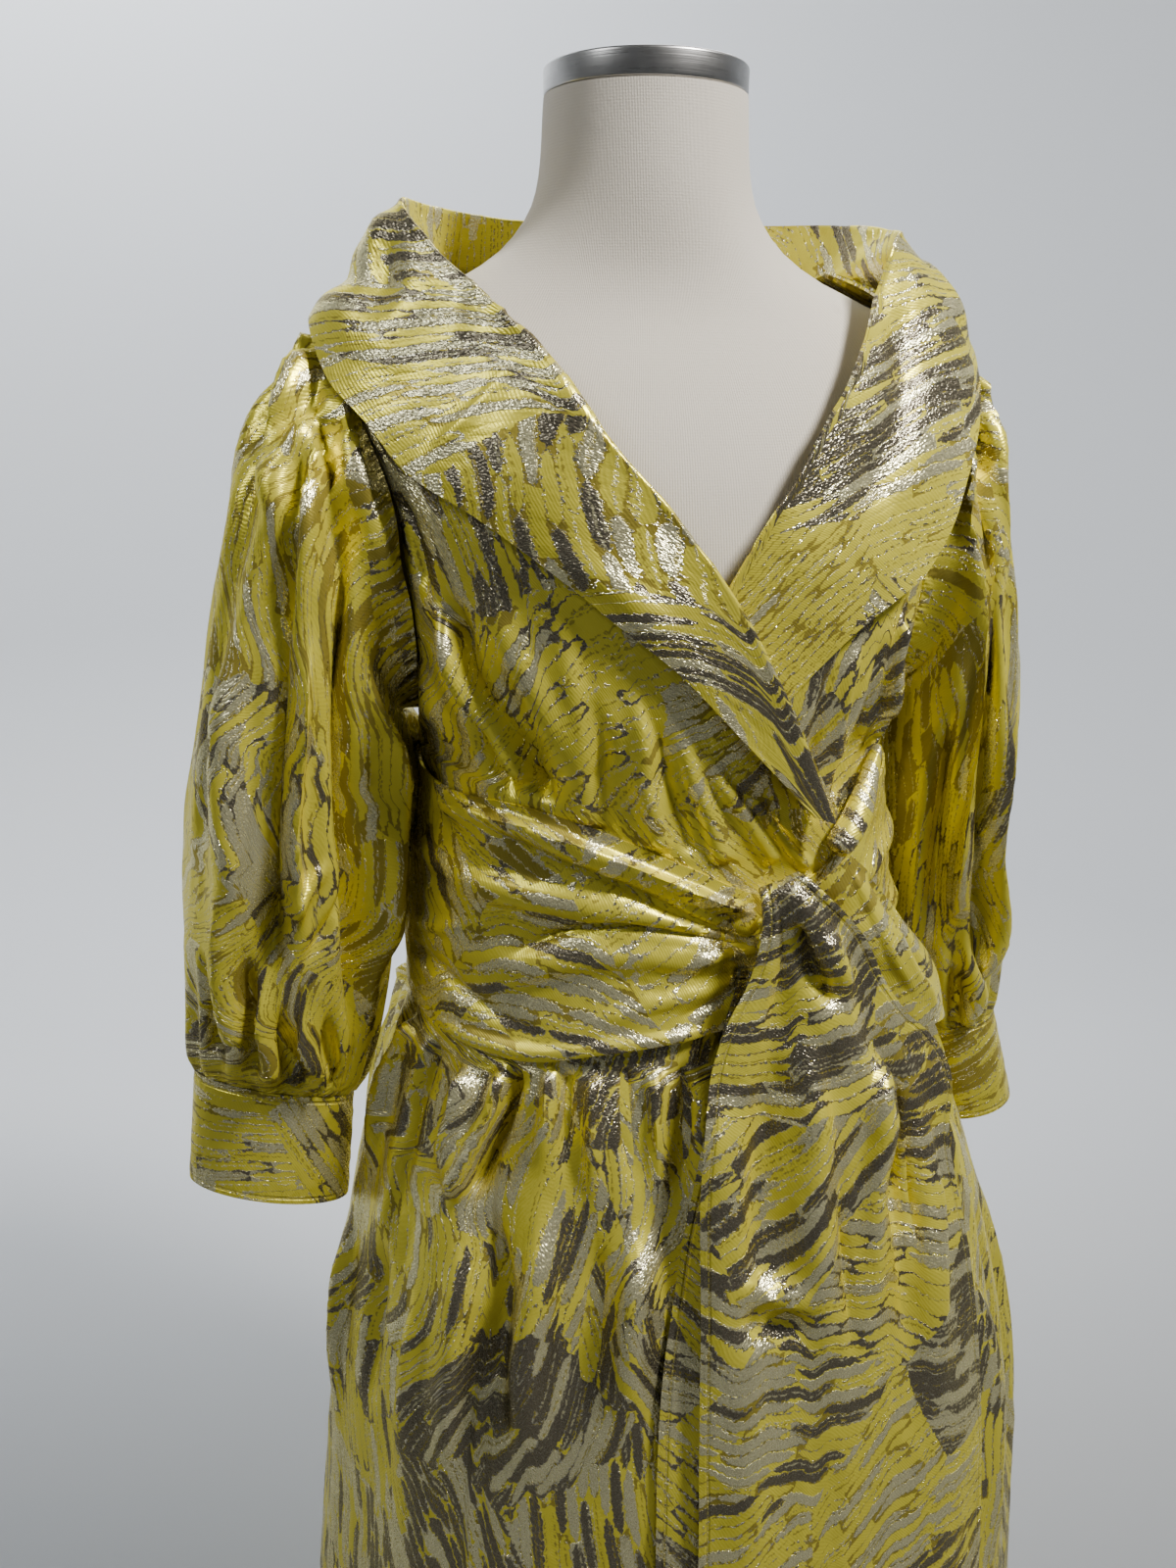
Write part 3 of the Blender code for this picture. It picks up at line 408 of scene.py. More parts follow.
def flat_lengths(place):
    """Metres along the cloth at each grid point: across from the middle column, and down."""
    across = np.linalg.norm(np.diff(place, axis=0), axis=-1)
    down = np.linalg.norm(np.diff(place, axis=1), axis=-1)
    run = np.pad(np.cumsum(across, axis=0), ((1, 0), (0, 0)))
    fall = np.pad(np.cumsum(down.mean(axis=0)), (1, 0))
    return np.stack([run - run[len(run) // 2], np.broadcast_to(fall, run.shape)], axis=-1)


def woven_lengths(place):
    """The same, but each column keeps its own length, so the weave isn't squeezed anywhere."""
    flat = flat_lengths(place)
    down = np.linalg.norm(np.diff(place, axis=1), axis=-1)
    flat[:, 1:, 1] = np.cumsum(down, axis=1)
    return flat


def grid_normals(place, tube):
    if tube:
        ring = place[:-1]
        across = np.roll(ring, -1, axis=0) - np.roll(ring, 1, axis=0)
        across = np.concatenate([across, across[:1]])
    else:
        across = np.gradient(place, axis=0)
    return unit(np.cross(across, np.gradient(place, axis=1)))


def smooth_line(points, steps):
    keys = np.arange(len(points), dtype=float)
    return hermite(keys, lambda index: points[index], np.linspace(0.0, keys[-1], steps + 1))


def crease(flat, line, width, rise, lean, start, end):
    """A fold along a line on the flat cloth. A lean makes one of its flanks steep."""
    near = line[:-1]
    step = line[1:] - near
    reach = np.linalg.norm(step, axis=-1)
    offset = flat[..., None, :] - near
    part = np.clip((offset * step).sum(-1) / np.maximum(reach**2, TINY), 0.0, 1.0)
    gap = offset - step * part[..., None]
    away = np.linalg.norm(gap, axis=-1)
    best = away.argmin(-1)[..., None]
    aside = np.take_along_axis(away, best, -1)[..., 0]
    side = np.take_along_axis(step[:, 0] * gap[..., 1] - step[:, 1] * gap[..., 0], best, -1)[..., 0]
    passed = np.cumsum(reach) - reach
    distance = np.take_along_axis(passed + part * reach, best, -1)[..., 0] / reach.sum()
    steep = LEAN_SHARE * abs(lean)
    flank = np.where(side * lean > 0.0, 1.0 - steep * LEAN_STEEPER, 1.0 + steep)
    taper = CREASE_START + (1.0 - CREASE_START) * np.sqrt(np.clip(distance, 0.0, 1.0))
    spread = aside / (width * flank * taper)
    return rise * np.exp(-spread * spread) * ease(distance / start) * ease((1.0 - distance) / end)


def crumple(flat, size, seed):
    """Soft ridged noise, from -1 to 1, with ridges about one size apart."""
    places = (flat / size).reshape(-1, 2)
    values = [1.0 - RIDGE_SLOPE * abs(noise.noise((x, y, seed))) for x, y in places]
    return np.array(values).reshape(flat.shape[:2])


def at(flat, points):
    """Flat places of points given as shares across and down the grid."""
    last = np.array(flat.shape[:2]) - 1
    found = []
    for point in points:
        place = np.clip(point, 0.0, 1.0) * last
        low = np.minimum(place.astype(int), last - 1)
        share = place - low
        corner = flat[low[0] : low[0] + 2, low[1] : low[1] + 2]
        found.append(blend(*blend(corner[0], corner[1], share[0]), share[1]))
    return np.array(found)


def relief(flat, across, down, folds, crumples, tube, pressed):
    """Rise of the cloth at each grid point: its creases, its crumple and where it is pressed."""
    total = np.zeros(across.shape)
    girth = np.zeros(flat.shape)
    girth[..., 0] = flat[-1, :, 0] - flat[0, :, 0]
    for points, *form in folds:
        line = smooth_line(at(flat, points), CREASE_STEPS)
        for shift in (-1.0, 0.0, 1.0) if tube else (0.0,):
            total += CREASE_DEPTH * crease(flat + girth * shift, line, *form)
    for size, stretch, rise, seed, edge in crumples:
        border = ease(down / edge) * ease((1.0 - down) / edge)
        if tube:
            border *= ease(np.minimum(across, 1.0 - across) / TUBE_SEAM_FADE)
        else:
            border *= ease(across / edge) * ease((1.0 - across) / edge)
        total += rise * border * crumple(flat / [1.0, stretch], size, seed)
    if tube:
        total[-1] = total[0]
    if pressed is not None:
        total *= ease((along(pressed, across)[0] - down) / PRESS_FADE)
    return total


print("creases ready")

# %% [markdown]
# A grid becomes a mesh with two UV maps: "cloth" holds the lengths along the weave, and "hem" the
# distance to the nearer side and to the nearer end, which the needlework is laid on. A tube's last
# column is its first one again, so its faces close round and it has no side edges.

# %% Make a grid a piece of cloth
SMOOTH_ANGLE = math.radians(65.0)
WELD = 0.00002
# Keeps the needlework of side edges off a tube, which has none
NO_SIDE = 1.0


def edge_distances(flat, tube):
    run, fall = flat[..., 0], flat[..., 1]
    side = np.minimum(run - run[:1], run[-1:] - run)
    end = np.minimum(fall - fall[:, :1], fall[:, -1:] - fall)
    return np.stack([side + NO_SIDE if tube else side, end], axis=-1)


def grid_mesh(name, place, tube, flip):
    flat = woven_lengths(place)
    columns = place.shape[0] - (1 if tube else 0)
    rows = place.shape[1]
    index = np.arange(place.shape[0] * rows).reshape(place.shape[0], rows)
    corners = [index[:-1, :-1], index[1:, :-1], index[1:, 1:], index[:-1, 1:]]
    if flip:
        corners = corners[::-1]
    loops = np.stack(corners, axis=-1).reshape(-1, 4)
    mesh = bpy.data.meshes.new(name)
    mesh.from_pydata(place[:columns].reshape(-1, 3).tolist(), [], (loops % (columns * rows)).tolist())
    for layer, lengths in (("cloth", flat), ("hem", edge_distances(flat, tube))):
        values = lengths.reshape(-1, 2)[loops.ravel()].ravel()
        mesh.uv_layers.new(name=layer).data.foreach_set("uv", values)
    mesh.polygons.foreach_set("use_smooth", [True] * len(mesh.polygons))
    return mesh


def thicken(sheet, wall, grows):
    """Give the cloth a wall that grows outward (1), both ways (0) or inward (-1)."""
    solid = sheet.modifiers.new("Thickness", "SOLIDIFY")
    solid.thickness = wall
    solid.offset = grows
    select_only(sheet)
    bpy.ops.object.modifier_apply(modifier=solid.name)
    bpy.ops.object.shade_smooth_by_angle(angle=SMOOTH_ANGLE)


def close_ends(piece):
    """Weld the ends of a tube of rolled cloth, which come to a point."""
    select_only(piece)
    bpy.ops.object.mode_set(mode="EDIT")
    bpy.ops.mesh.select_all(action="SELECT")
    bpy.ops.mesh.remove_doubles(threshold=WELD)
    bpy.ops.mesh.normals_make_consistent(inside=False)
    bpy.ops.object.mode_set(mode="OBJECT")


def make_sheet(name, shape, cells, folds=(), crumples=(), tube=False, flip=False, pressed=None,
               wall=CLOTH, grows=1.0):
    """Bend a grid through shape(across, down), crease it and make it a smooth piece of cloth."""
    shares = [np.linspace(0, 1, count + 1) for count in cells]
    across, down = np.meshgrid(*shares, indexing="ij")
    place = shape(across, down)
    outward = grid_normals(place, tube) * (-1.0 if flip else 1.0)
    rise = relief(flat_lengths(place), across, down, folds, crumples, tube, pressed)
    place = place + outward * rise[..., None]
    sheet = bpy.data.objects.new(name, grid_mesh(name, place, tube, flip))
    bpy.context.scene.collection.objects.link(sheet)
    if wall:
        thicken(sheet, wall, grows)
    else:
        close_ends(sheet)
    return sheet, flat_lengths(place)


print("sheet helpers ready")

# %% [markdown]
# ## The metallic jacquard
# The cloth is a jacquard in lemon, mustard, cream and taupe with glittering metal yarn. Its design
# is made for this lesson: rows of slender willow leaves, pointed at both ends, that turn another
# way in every patch of the cloth. A Voronoi texture gives the patches, and inside a patch the
# leaves are counted along and across its own grain, so each leaf can roll dice for its colour. The
# design is one node group, read from each piece's own UV map in metres, and each piece gives it
# another place on the bolt, so no two pieces match at a seam.

# %% Weave the design in a node group
LEMON = (0.79, 0.69, 0.080, 1.0)
MUSTARD = (0.36, 0.29, 0.048, 1.0)
CREAM = (0.81, 0.75, 0.44, 1.0)
TAUPE = (0.235, 0.205, 0.145, 1.0)
SILVER = (0.86, 0.81, 0.60, 1.0)
# The weave wanders in wide waves, and a fine noise frays the edges of every colour
DRIFT_SCALE = 7.0
DRIFT_REACH = 0.028
FRAY_SCALE = 330.0
FRAY_REACH = 0.0036
PATCHES = 9.5
PATCH_TURNS = 2.1
LEAF_PITCH = 0.0074
LEAF_LENGTH = 0.058
LEAF_BLUNT = 5.0
LEAF_FILL = 0.485
LEAF_EDGE = (0.0, 0.05)
LEAF_SWELL = (-0.1, 0.25)
# How much the patch and how much the leaf itself says about a colour
PATCH_SAYS = 0.56
LEAF_SAYS = 0.44
GROUND_TURNS = 3.7
GROUND_LEAF_SAYS = 0.3
# Share of the leaves and of the ground between them, by dice: where each colour starts
LEAF_COLOURS = (
    (0.0, MUSTARD), (0.10, LEMON), (0.48, CREAM), (0.58, LEMON), (0.68, TAUPE), (0.77, CREAM), (0.88, TAUPE),
)
GROUND_COLOURS = ((0.0, MUSTARD), (0.22, LEMON), (0.42, CREAM), (0.58, TAUPE), (0.78, LEMON))
# Thin broken strokes along a leaf, and a broken rim of metal yarn round some leaves
BROKEN = (0.44, 0.54)
STROKE_PITCH = LEAF_PITCH * 0.37
STROKE_SHIFT = 0.3
STROKE_WIDTH = (0.26, 0.16)
STROKE_DICE = (0.66, 0.68)
STROKE_CREAM_DICE = (0.55, 0.57)
STROKE_STRENGTH = 0.85
RIM_DICE = (0.42, 0.46)
RIM_WIDTH = (0.11, 0.05)
GLITTER_SCALE = 820.0
GLITTER_DICE = (0.35, 0.55)
# Keeps the dice of one patch apart from those of the next
PATCH_DICE = 57.0
# Yarns of little colour are the metallic and smooth ones; they also pucker more
GREY_YARN = (0.85, 0.35)
METAL = 0.58
METAL_IN_GREY = 0.28
METAL_IN_RIM = 0.15
ROUGH = 0.33
ROUGH_IN_GREY = -0.03
ROUGH_IN_SPARK = -0.12
TWILL = {"Scale": 270.0, "Distortion": 0.6, "Detail": 1.0}
PUCKER_SCALE = 620.0
CREPE_SCALE = 55.0
PUCKER_RISE = 0.1
PUCKER_RISE_IN_GREY = 0.9
TWILL_RISE = 0.10
LEAF_RISE = 0.14


def colour_steps(share, steps):
    """A ramp without blending: one colour up to the next position."""
    ramp = share.tree.nodes.new("ShaderNodeValToRGB")
    ramp.color_ramp.interpolation = "CONSTANT"
    while len(ramp.color_ramp.elements) < len(steps):
        ramp.color_ramp.elements.new(1.0)
    for element, (position, colour) in zip(ramp.color_ramp.elements, steps):
        element.position = position
        element.color = colour
    feed(ramp, {"Fac": share})
    return wires(ramp)["Color"]


def vector(operation, first, second):
    name = "Scale" if operation == "SCALE" else 1
    return add_node(first.tree, "VectorMath", {0: first, name: second}, operation=operation)[0]


def rotate(place, angle):
    return add_node(place.tree, "VectorRotate", {"Vector": place, "Angle": angle}, rotation_type="Z_AXIS")[0]


def pushed(place, texture, reach):
    """A place pushed aside by a noise, by up to half its reach."""
    push = vector("SUBTRACT", texture["Color"], (0.5, 0.5, 0.5))
    return vector("ADD", place, vector("SCALE", push, reach))


def spots(place, scale):
    """Irregular cells, each with a colour by dice."""
    return add_node(place.tree, "TexVoronoi", {"Vector": place, "Scale": scale}, voronoi_dimensions="2D")


def split_colour(colour, mode="RGB"):
    return add_node(colour.tree, "SeparateColor", {"Color": colour}, mode=mode)


def count_along(value, size, shift):
    """Which repeat a place is in, and where in it, from -0.5 to 0.5."""
    scaled = value * (1.0 / size) + shift
    number = maths("FLOOR", scaled)
    return number, scaled - number - 0.5


def roll_dice(first, second, third):
    place = add_node(first.tree, "CombineXYZ", {"X": first, "Y": second, "Z": third})[0]
    return split_colour(add_node(first.tree, "TexWhiteNoise", {"Vector": place})["Color"])


def build_jacquard():
    outputs = {"Colour": "Color", "Roughness": "Float", "Metallic": "Float", "Height": "Float"}
    inputs = {"Place on the bolt": "Vector", "Turn": "Float", "Spread": "Float", "Taupe share": "Float"}
    group, given, made = new_group("willow_jacquard", outputs, inputs)
    turned = rotate(add_node(group, "UVMap", uv_map="cloth")[0], given["Turn"])
    place = vector("ADD", turned, given["Place on the bolt"])
    fray = grain(place, FRAY_SCALE, 3.0, "2D")
    bolt = pushed(place, grain(place, DRIFT_SCALE, 1.0, "2D"), DRIFT_REACH)
    frayed = pushed(bolt, fray, FRAY_REACH)

    patch = spots(frayed, PATCHES)
    mood = split_colour(patch["Color"])
    angle = (mood[0] * PATCH_TURNS - 1.0) * given["Spread"]
    leafward = rotate(vector("SUBTRACT", frayed, patch["Position"]), angle)
    split = add_node(group, "SeparateXYZ", {"Vector": leafward})
    column, aside = count_along(split["X"], LEAF_PITCH, 0.0)
    row, length = count_along(split["Y"], LEAF_LENGTH, roll_dice(column, mood[2], 3.0)[0])
    dice = roll_dice(column, row, mood[2] * PATCH_DICE)

    taper = maths("POWER", maths("ABSOLUTE", length) * 2.0, LEAF_BLUNT)
    inside = taper * -LEAF_FILL + LEAF_FILL - maths("ABSOLUTE", aside)
    leaves = colour_steps(mood[1] * PATCH_SAYS + dice[0] * LEAF_SAYS + given["Taupe share"], LEAF_COLOURS)
    ground = colour_steps(maths("FRACT", mood[1] * GROUND_TURNS + dice[1] * GROUND_LEAF_SAYS), GROUND_COLOURS)

    broken = step_mask(fray["Fac"], *BROKEN)
    stroke_column, stroke_aside = count_along(split["X"], STROKE_PITCH, STROKE_SHIFT)
    stroke_dice = roll_dice(stroke_column, row, mood[2])
    stroke = step_mask(maths("ABSOLUTE", stroke_aside), *STROKE_WIDTH) * broken
    stroke = stroke * step_mask(stroke_dice[0], *STROKE_DICE) * STROKE_STRENGTH
    stroked = mix(stroke, leaves, mix(step_mask(stroke_dice[1], *STROKE_CREAM_DICE), CREAM, MUSTARD))
    woven = mix(step_mask(inside, *LEAF_EDGE), ground, stroked)
    rim = step_mask(maths("ABSOLUTE", inside), *RIM_WIDTH) * step_mask(dice[2], *RIM_DICE) * broken
    spark = step_mask(split_colour(spots(bolt, GLITTER_SCALE)["Color"])[0], *GLITTER_DICE)
    coloured = mix(rim, woven, mix(spark, MUSTARD, SILVER))

    grey = step_mask(split_colour(coloured, "HSV")[1], *GREY_YARN)
    metallic = grey * METAL_IN_GREY + rim * METAL_IN_RIM + METAL
    rough = spark * grey * ROUGH_IN_SPARK + grey * ROUGH_IN_GREY + ROUGH
    twill = add_node(group, "TexWave", {"Vector": bolt, **TWILL}, bands_direction="DIAGONAL")["Fac"]
    pucker = grain(bolt, PUCKER_SCALE, 1.0, "2D")["Fac"] * (grey * PUCKER_RISE_IN_GREY + PUCKER_RISE)
    crepe = grain(place, CREPE_SCALE, 3.0, "2D")["Fac"]
    height = pucker + twill * TWILL_RISE + step_mask(inside, *LEAF_SWELL) * LEAF_RISE + crepe
    feed(made, {"Colour": coloured, "Roughness": rough, "Metallic": metallic, "Height": height})
    return group


jacquard_design = build_jacquard()
print("jacquard nodes:", len(jacquard_design.nodes))

# %% [markdown]
# ## Needlework
# Stitches run at a set distance from the edges, and small gathers leave each seam at a right angle
# and fade away from it. Both are read from the "hem" map.

# %% Stitches and puckered seams
STITCH_LENGTH = 0.0034
STITCH_DASH = (-0.75, -0.45)
# Distances at which the thread, its groove and the gathers begin and are full
THREAD_HALF = (0.000494, 0.000304)
GROOVE_HALF = (0.0017, 0.0004)
PUCKER_REACH = (0.016, 0.001)
GROOVE_DEPTH = -1.3
THREAD_RISE = 1.1
PUCKER_PITCH = 0.0046
PUCKER_STRETCH = 60.0
SIDE_PUCKER_SHARE = 0.6


def stitch_line(margin, inset, run):
    """Dashes at one distance from an edge, and the groove that they lie in."""
    away = maths("ABSOLUTE", margin - inset)
    dash = step_mask(maths("SINE", run * (2.0 * math.pi / STITCH_LENGTH)), *STITCH_DASH)
    return step_mask(away, *THREAD_HALF) * dash, step_mask(away, *GROOVE_HALF)


def pucker_wave(run, margin):
    sockets = {"X": run * (1.0 / PUCKER_PITCH), "Y": margin * PUCKER_STRETCH}
    wave = grain(add_node(run.tree, "CombineXYZ", sockets)[0], 1.0, 1.0, "2D")["Fac"]
    return (wave - 0.5) * step_mask(margin, *PUCKER_REACH)


def build_needlework():
    inputs = {"Side inset": "Float", "End inset": "Float", "Pucker": "Float"}
    group, given, made = new_group("needlework", {"Thread": "Float", "Height": "Float"}, inputs)
    hem, cloth = [
        add_node(group, "SeparateXYZ", {"Vector": add_node(group, "UVMap", uv_map=layer)[0]})
        for layer in ("hem", "cloth")
    ]
    side, side_groove = stitch_line(hem["X"], given["Side inset"], cloth["Y"])
    end, end_groove = stitch_line(hem["Y"], given["End inset"], cloth["X"])
    thread = maths("MAXIMUM", side, end)
    groove = maths("MAXIMUM", side_groove, end_groove)
    gathers = pucker_wave(cloth["X"], hem["Y"]) + pucker_wave(cloth["Y"], hem["X"]) * SIDE_PUCKER_SHARE
    height = groove * GROOVE_DEPTH + thread * THREAD_RISE + gathers * given["Pucker"]
    feed(made, {"Thread": thread, "Height": height})
    return group


needlework = build_needlework()
print("needlework nodes:", len(needlework.nodes))

# %% Cut a piece from the bolt
RELIEF = 0.0006
THREAD = (0.70, 0.60, 0.16, 1.0)
EDGE_TINT = (0.80, 0.74, 0.45, 1.0)
EDGE_SHINE = 0.2
NO_STITCHES = -1.0
# Distance of the stitches from the side edges and from the ends, and strength of the puckers
SEWN = {
    "bodice": (NO_STITCHES, NO_STITCHES, 2.5),
    "sleeve": (NO_STITCHES, NO_STITCHES, 6.0),
    "cuff": (NO_STITCHES, 0.0045, 2.5),
    "skirt": (0.009, 0.024, 3.0),
    "skirt_back": (NO_STITCHES, 0.024, 3.0),
    "tail": (0.0052, 0.0070, 1.5),
}


def jacquard(node, place, turn=0.0, taupe=0.0, spread=1.0):
    """The cloth's material, cut from its own place on the bolt and sewn as its edges ask."""
    material, tree, shader = new_material("jacquard_" + node)
    cut = {"Place on the bolt": (*place, 0.0), "Turn": turn, "Spread": spread, "Taupe share": taupe}
    bolt = add_node(tree, "Group", cut, node_tree=jacquard_design)
    colour, height = bolt["Colour"], bolt["Height"]
    sewn = SEWN.get(node, SEWN.get(node.split("_")[0]))
    if sewn:
        insets = dict(zip(("Side inset", "End inset", "Pucker"), sewn))
        sewing = add_node(tree, "Group", insets, node_tree=needlework)
        colour = mix(sewing["Thread"], colour, THREAD)
        height = height + sewing["Height"]
    feed(shader, {"Base Color": colour, "Roughness": bolt["Roughness"], "Metallic": bolt["Metallic"]})
    feed(shader, {"Normal": bump(height, RELIEF, 1.0), "Specular IOR Level": EDGE_SHINE})
    feed(shader, {"Specular Tint": EDGE_TINT})
    return material


def sew(name, node, shape, cells, folds, crumples, held, rests_on, place, look=(), **cut):
    """Make one cut piece of the gown and give it its material, its body and its solid."""
    sheet, flat = make_sheet(name, shape, cells, folds, crumples, **cut)
    dress(sheet, node, jacquard(node, place, *look))


print("ready to sew")

# %% [markdown]
# ## The dress form
# The form is a padded body under a thin ribbed jersey. It has no head, arms or legs: it ends in a
# bare neck with a steel cap, and below the hips it stands on a pole. A lathe-like way suits it: a
# circle is added and extruded ring by ring, and then each ring is moved to its own oval. The many
# sides keep its outline smooth in the close view.

# %% Turn the form's body
# Height, half width, half depth, centre x, centre y
FORM_RINGS = table(
    "mm mm mm mm mm",
    (790, 146, 110, 0, 0), (800, 154, 117, 0, 0), (880, 165, 120, 0, 0), (970, 152, 114, 0, 0),
    (1070, 136, 108, 0, -1), (1150, 132, 109, 0, -3), (1200, 137, 112, 0, -6),
    (1260, 150, 112.5, 0, -8), (1310, 160, 106, 0, -6), (1345, 169, 97, 0, -3),
    (1375, 177, 84.5, 0, 0), (1392, 173, 74.5, 0, 1), (1408, 148, 66.5, 0, 2),
    (1427, 105, 62.5, 0, 3), (1445, 79, 62, 0, 3), (1470, 63, 60.5, 0, 1), (1520, 57.5, 57.5, 0, 0),
)
FORM_SIDES = 96
FORM_LEVELS = 92
FORM_SMOOTH = math.radians(50.0)


def build_form_body():
    low, high = FORM_RINGS[0, 0], FORM_RINGS[-1, 0]
    bpy.ops.mesh.primitive_circle_add(vertices=FORM_SIDES, radius=1.0, fill_type="NGON")
    body = bpy.context.object
    body.name = "form_jersey"
    bpy.ops.object.mode_set(mode="EDIT")
    bpy.ops.mesh.select_mode(type="EDGE")
    bpy.ops.mesh.select_all(action="SELECT")
    step = {"value": (0.0, 0.0, (high - low) / FORM_LEVELS)}
    for level in range(FORM_LEVELS):
        bpy.ops.mesh.extrude_region_move(TRANSFORM_OT_translate=step)
    bpy.ops.mesh.select_all(action="SELECT")
    bpy.ops.mesh.normals_make_consistent(inside=False)
    bpy.ops.object.mode_set(mode="OBJECT")
    points = np.array([vertex.co for vertex in body.data.vertices])
    angle = np.degrees(np.arctan2(points[:, 0], -points[:, 1]))
    placed = ring_point(FORM_RINGS, angle, points[:, 2] + low)
    body.data.vertices.foreach_set("co", placed.ravel())
    body.data.update()
    bpy.ops.object.shade_smooth_by_angle(angle=FORM_SMOOTH)
    return body


form_jersey = build_form_body()
print("form faces:", len(form_jersey.data.polygons))

# %% Ribbed jersey
RIBS = 470.0
PURLS = 4200.0
CLOUD_SCALE = 7.0
FUZZ_SCALE = 900.0
SOIL_SCALE = 38.0
JERSEY_LIGHT = (0.61, 0.555, 0.47, 1.0)
JERSEY_SHADE = (0.54, 0.485, 0.40, 1.0)
JERSEY_SOIL = (0.36, 0.32, 0.27, 1.0)
CLOUD_TONE = 0.8
RIB_GROOVE_SHADE = 0.16
SOIL_SPOTS = (0.70, 0.78)
SOIL_STRENGTH = 0.25
RIB_RISE = 0.5
PURL_RISE = 0.12
JERSEY_ROUGH = 0.78
FUZZ_ROUGH = 0.12
JERSEY_RELIEF = 0.00022
JERSEY_BUMP = 0.7
JERSEY_SHEEN = {"Sheen Weight": 0.25, "Sheen Roughness": 0.6}


def build_jersey():
    material, tree, shader = new_material("ivory_jersey")
    place = add_node(tree, "TexCoord")["Object"]
    split = add_node(tree, "SeparateXYZ", {"Vector": place})
    rib = maths("SINE", maths("ARCTAN2", split["X"], split["Y"]) * RIBS)
    purl = maths("SINE", split["Z"] * PURLS)
    cloud = grain(place, CLOUD_SCALE, 3.0)["Fac"]
    fuzz = grain(place, FUZZ_SCALE, 2.0)["Fac"]
    soil = step_mask(grain(place, SOIL_SCALE, 2.0)["Fac"], *SOIL_SPOTS) * SOIL_STRENGTH
    # Painted shade: the ribs are darker in their grooves, where the rib relief is low; the cloud gives a
    # random tone
    tone = maths("MULTIPLY_ADD", rib, RIB_GROOVE_SHADE, cloud * CLOUD_TONE, clamp=True)
    height = rib * RIB_RISE + purl * PURL_RISE + fuzz
    feed(shader, {"Base Color": mix(soil, mix(tone, JERSEY_SHADE, JERSEY_LIGHT), JERSEY_SOIL)})
    feed(shader, {"Roughness": fuzz * FUZZ_ROUGH + JERSEY_ROUGH, **JERSEY_SHEEN})
    feed(shader, {"Normal": bump(height, JERSEY_RELIEF, JERSEY_BUMP)})
    return material


dress(form_jersey, "form_torso", build_jersey())
print("jersey on", form_jersey.name)

# %% [markdown]
# ## Steel cap, pole and base
# The cap is a shallow steel disc with a turned rim, the pole is plain and round, and the base is a
# round plate with an eased edge. Each starts as a cylinder primitive at its own size; its sharp
# rims are bevelled, and the cap's top is inset and sunk a little, as a spun lid is.

# %% Turned steel pieces
CAP_RADIUS = 0.0575
CAP_BOTTOM = 1.5203
CAP_TOP = 1.5344
CAP_INSET = 0.0022
CAP_SLOPE = 0.00132
CAP_SINK = 0.0006
POLE_RADIUS = 0.0125
POLE_BOTTOM = 0.0103
POLE_TOP = 0.7897
BASE_RADIUS = 0.17
BASE_THICKNESS = 0.010
# Name, solid, radius, bottom, top, rounding of its rims, sides, grain of its brushing on x, y and z
STEEL_PIECES = (
    ("steel_cap", "form_cap", CAP_RADIUS, CAP_BOTTOM, CAP_TOP, 0.0016, 128, (30.0, 30.0, 2600.0)),
    ("steel_pole", "form_pole", POLE_RADIUS, POLE_BOTTOM, POLE_TOP, 0.0006, 48, (900.0, 900.0, 8.0)),
    ("steel_base", "form_base", BASE_RADIUS, 0.0, BASE_THICKNESS, 0.0030, 160, (420.0, 420.0, 20.0)),
)
RIM_STEPS = 4
RIM_ANGLE = math.radians(60.0)
STEEL_SMOOTH = math.radians(40.0)
STEEL = (0.46, 0.45, 0.435, 1.0)
STEEL_WORN = (0.36, 0.35, 0.34, 1.0)
STEEL_DARK = (0.22, 0.215, 0.21, 1.0)
WEAR_SCALE = 60.0
WEAR = (0.35, 0.75)
NICK_SCALE = 42.0
NICK_SIZE = (0.10, 0.04)
NICK_STRENGTH = 0.55
STEEL_ROUGH = 0.20
BRUSH_ROUGH = 0.22
STEEL_RELIEF = 0.00008
STEEL_BUMP = 0.6


def turned(name, radius, bottom, top, edge, sides):
    """A cylinder with rounded rims, its place put into its mesh."""
    middle = (0.0, 0.0, (bottom + top) / 2.0)
    bpy.ops.object.select_all(action="DESELECT")
    bpy.ops.mesh.primitive_cylinder_add(vertices=sides, radius=radius, depth=top - bottom, location=middle)
    piece = bpy.context.object
    piece.name = name
    bpy.ops.object.transform_apply(location=True, rotation=True, scale=True)
    rims = piece.modifiers.new("Rims", "BEVEL")
    rims.width = edge
    rims.segments = RIM_STEPS
    rims.limit_method = "ANGLE"
    rims.angle_limit = RIM_ANGLE
    bpy.ops.object.modifier_apply(modifier="Rims")
    return piece


def sink_top(piece):
    """Inset the top face and press it down."""
    bpy.ops.object.mode_set(mode="EDIT")
    bpy.ops.mesh.select_mode(type="FACE")
    bpy.ops.mesh.select_all(action="DESELECT")
    bpy.ops.object.mode_set(mode="OBJECT")
    top = max(piece.data.polygons, key=lambda face: face.center.z)
    top.select = True
    bpy.ops.object.mode_set(mode="EDIT")
    bpy.ops.mesh.inset(thickness=CAP_INSET, depth=0.0)
    bpy.ops.mesh.inset(thickness=CAP_SLOPE, depth=-CAP_SINK)
    bpy.ops.object.mode_set(mode="OBJECT")


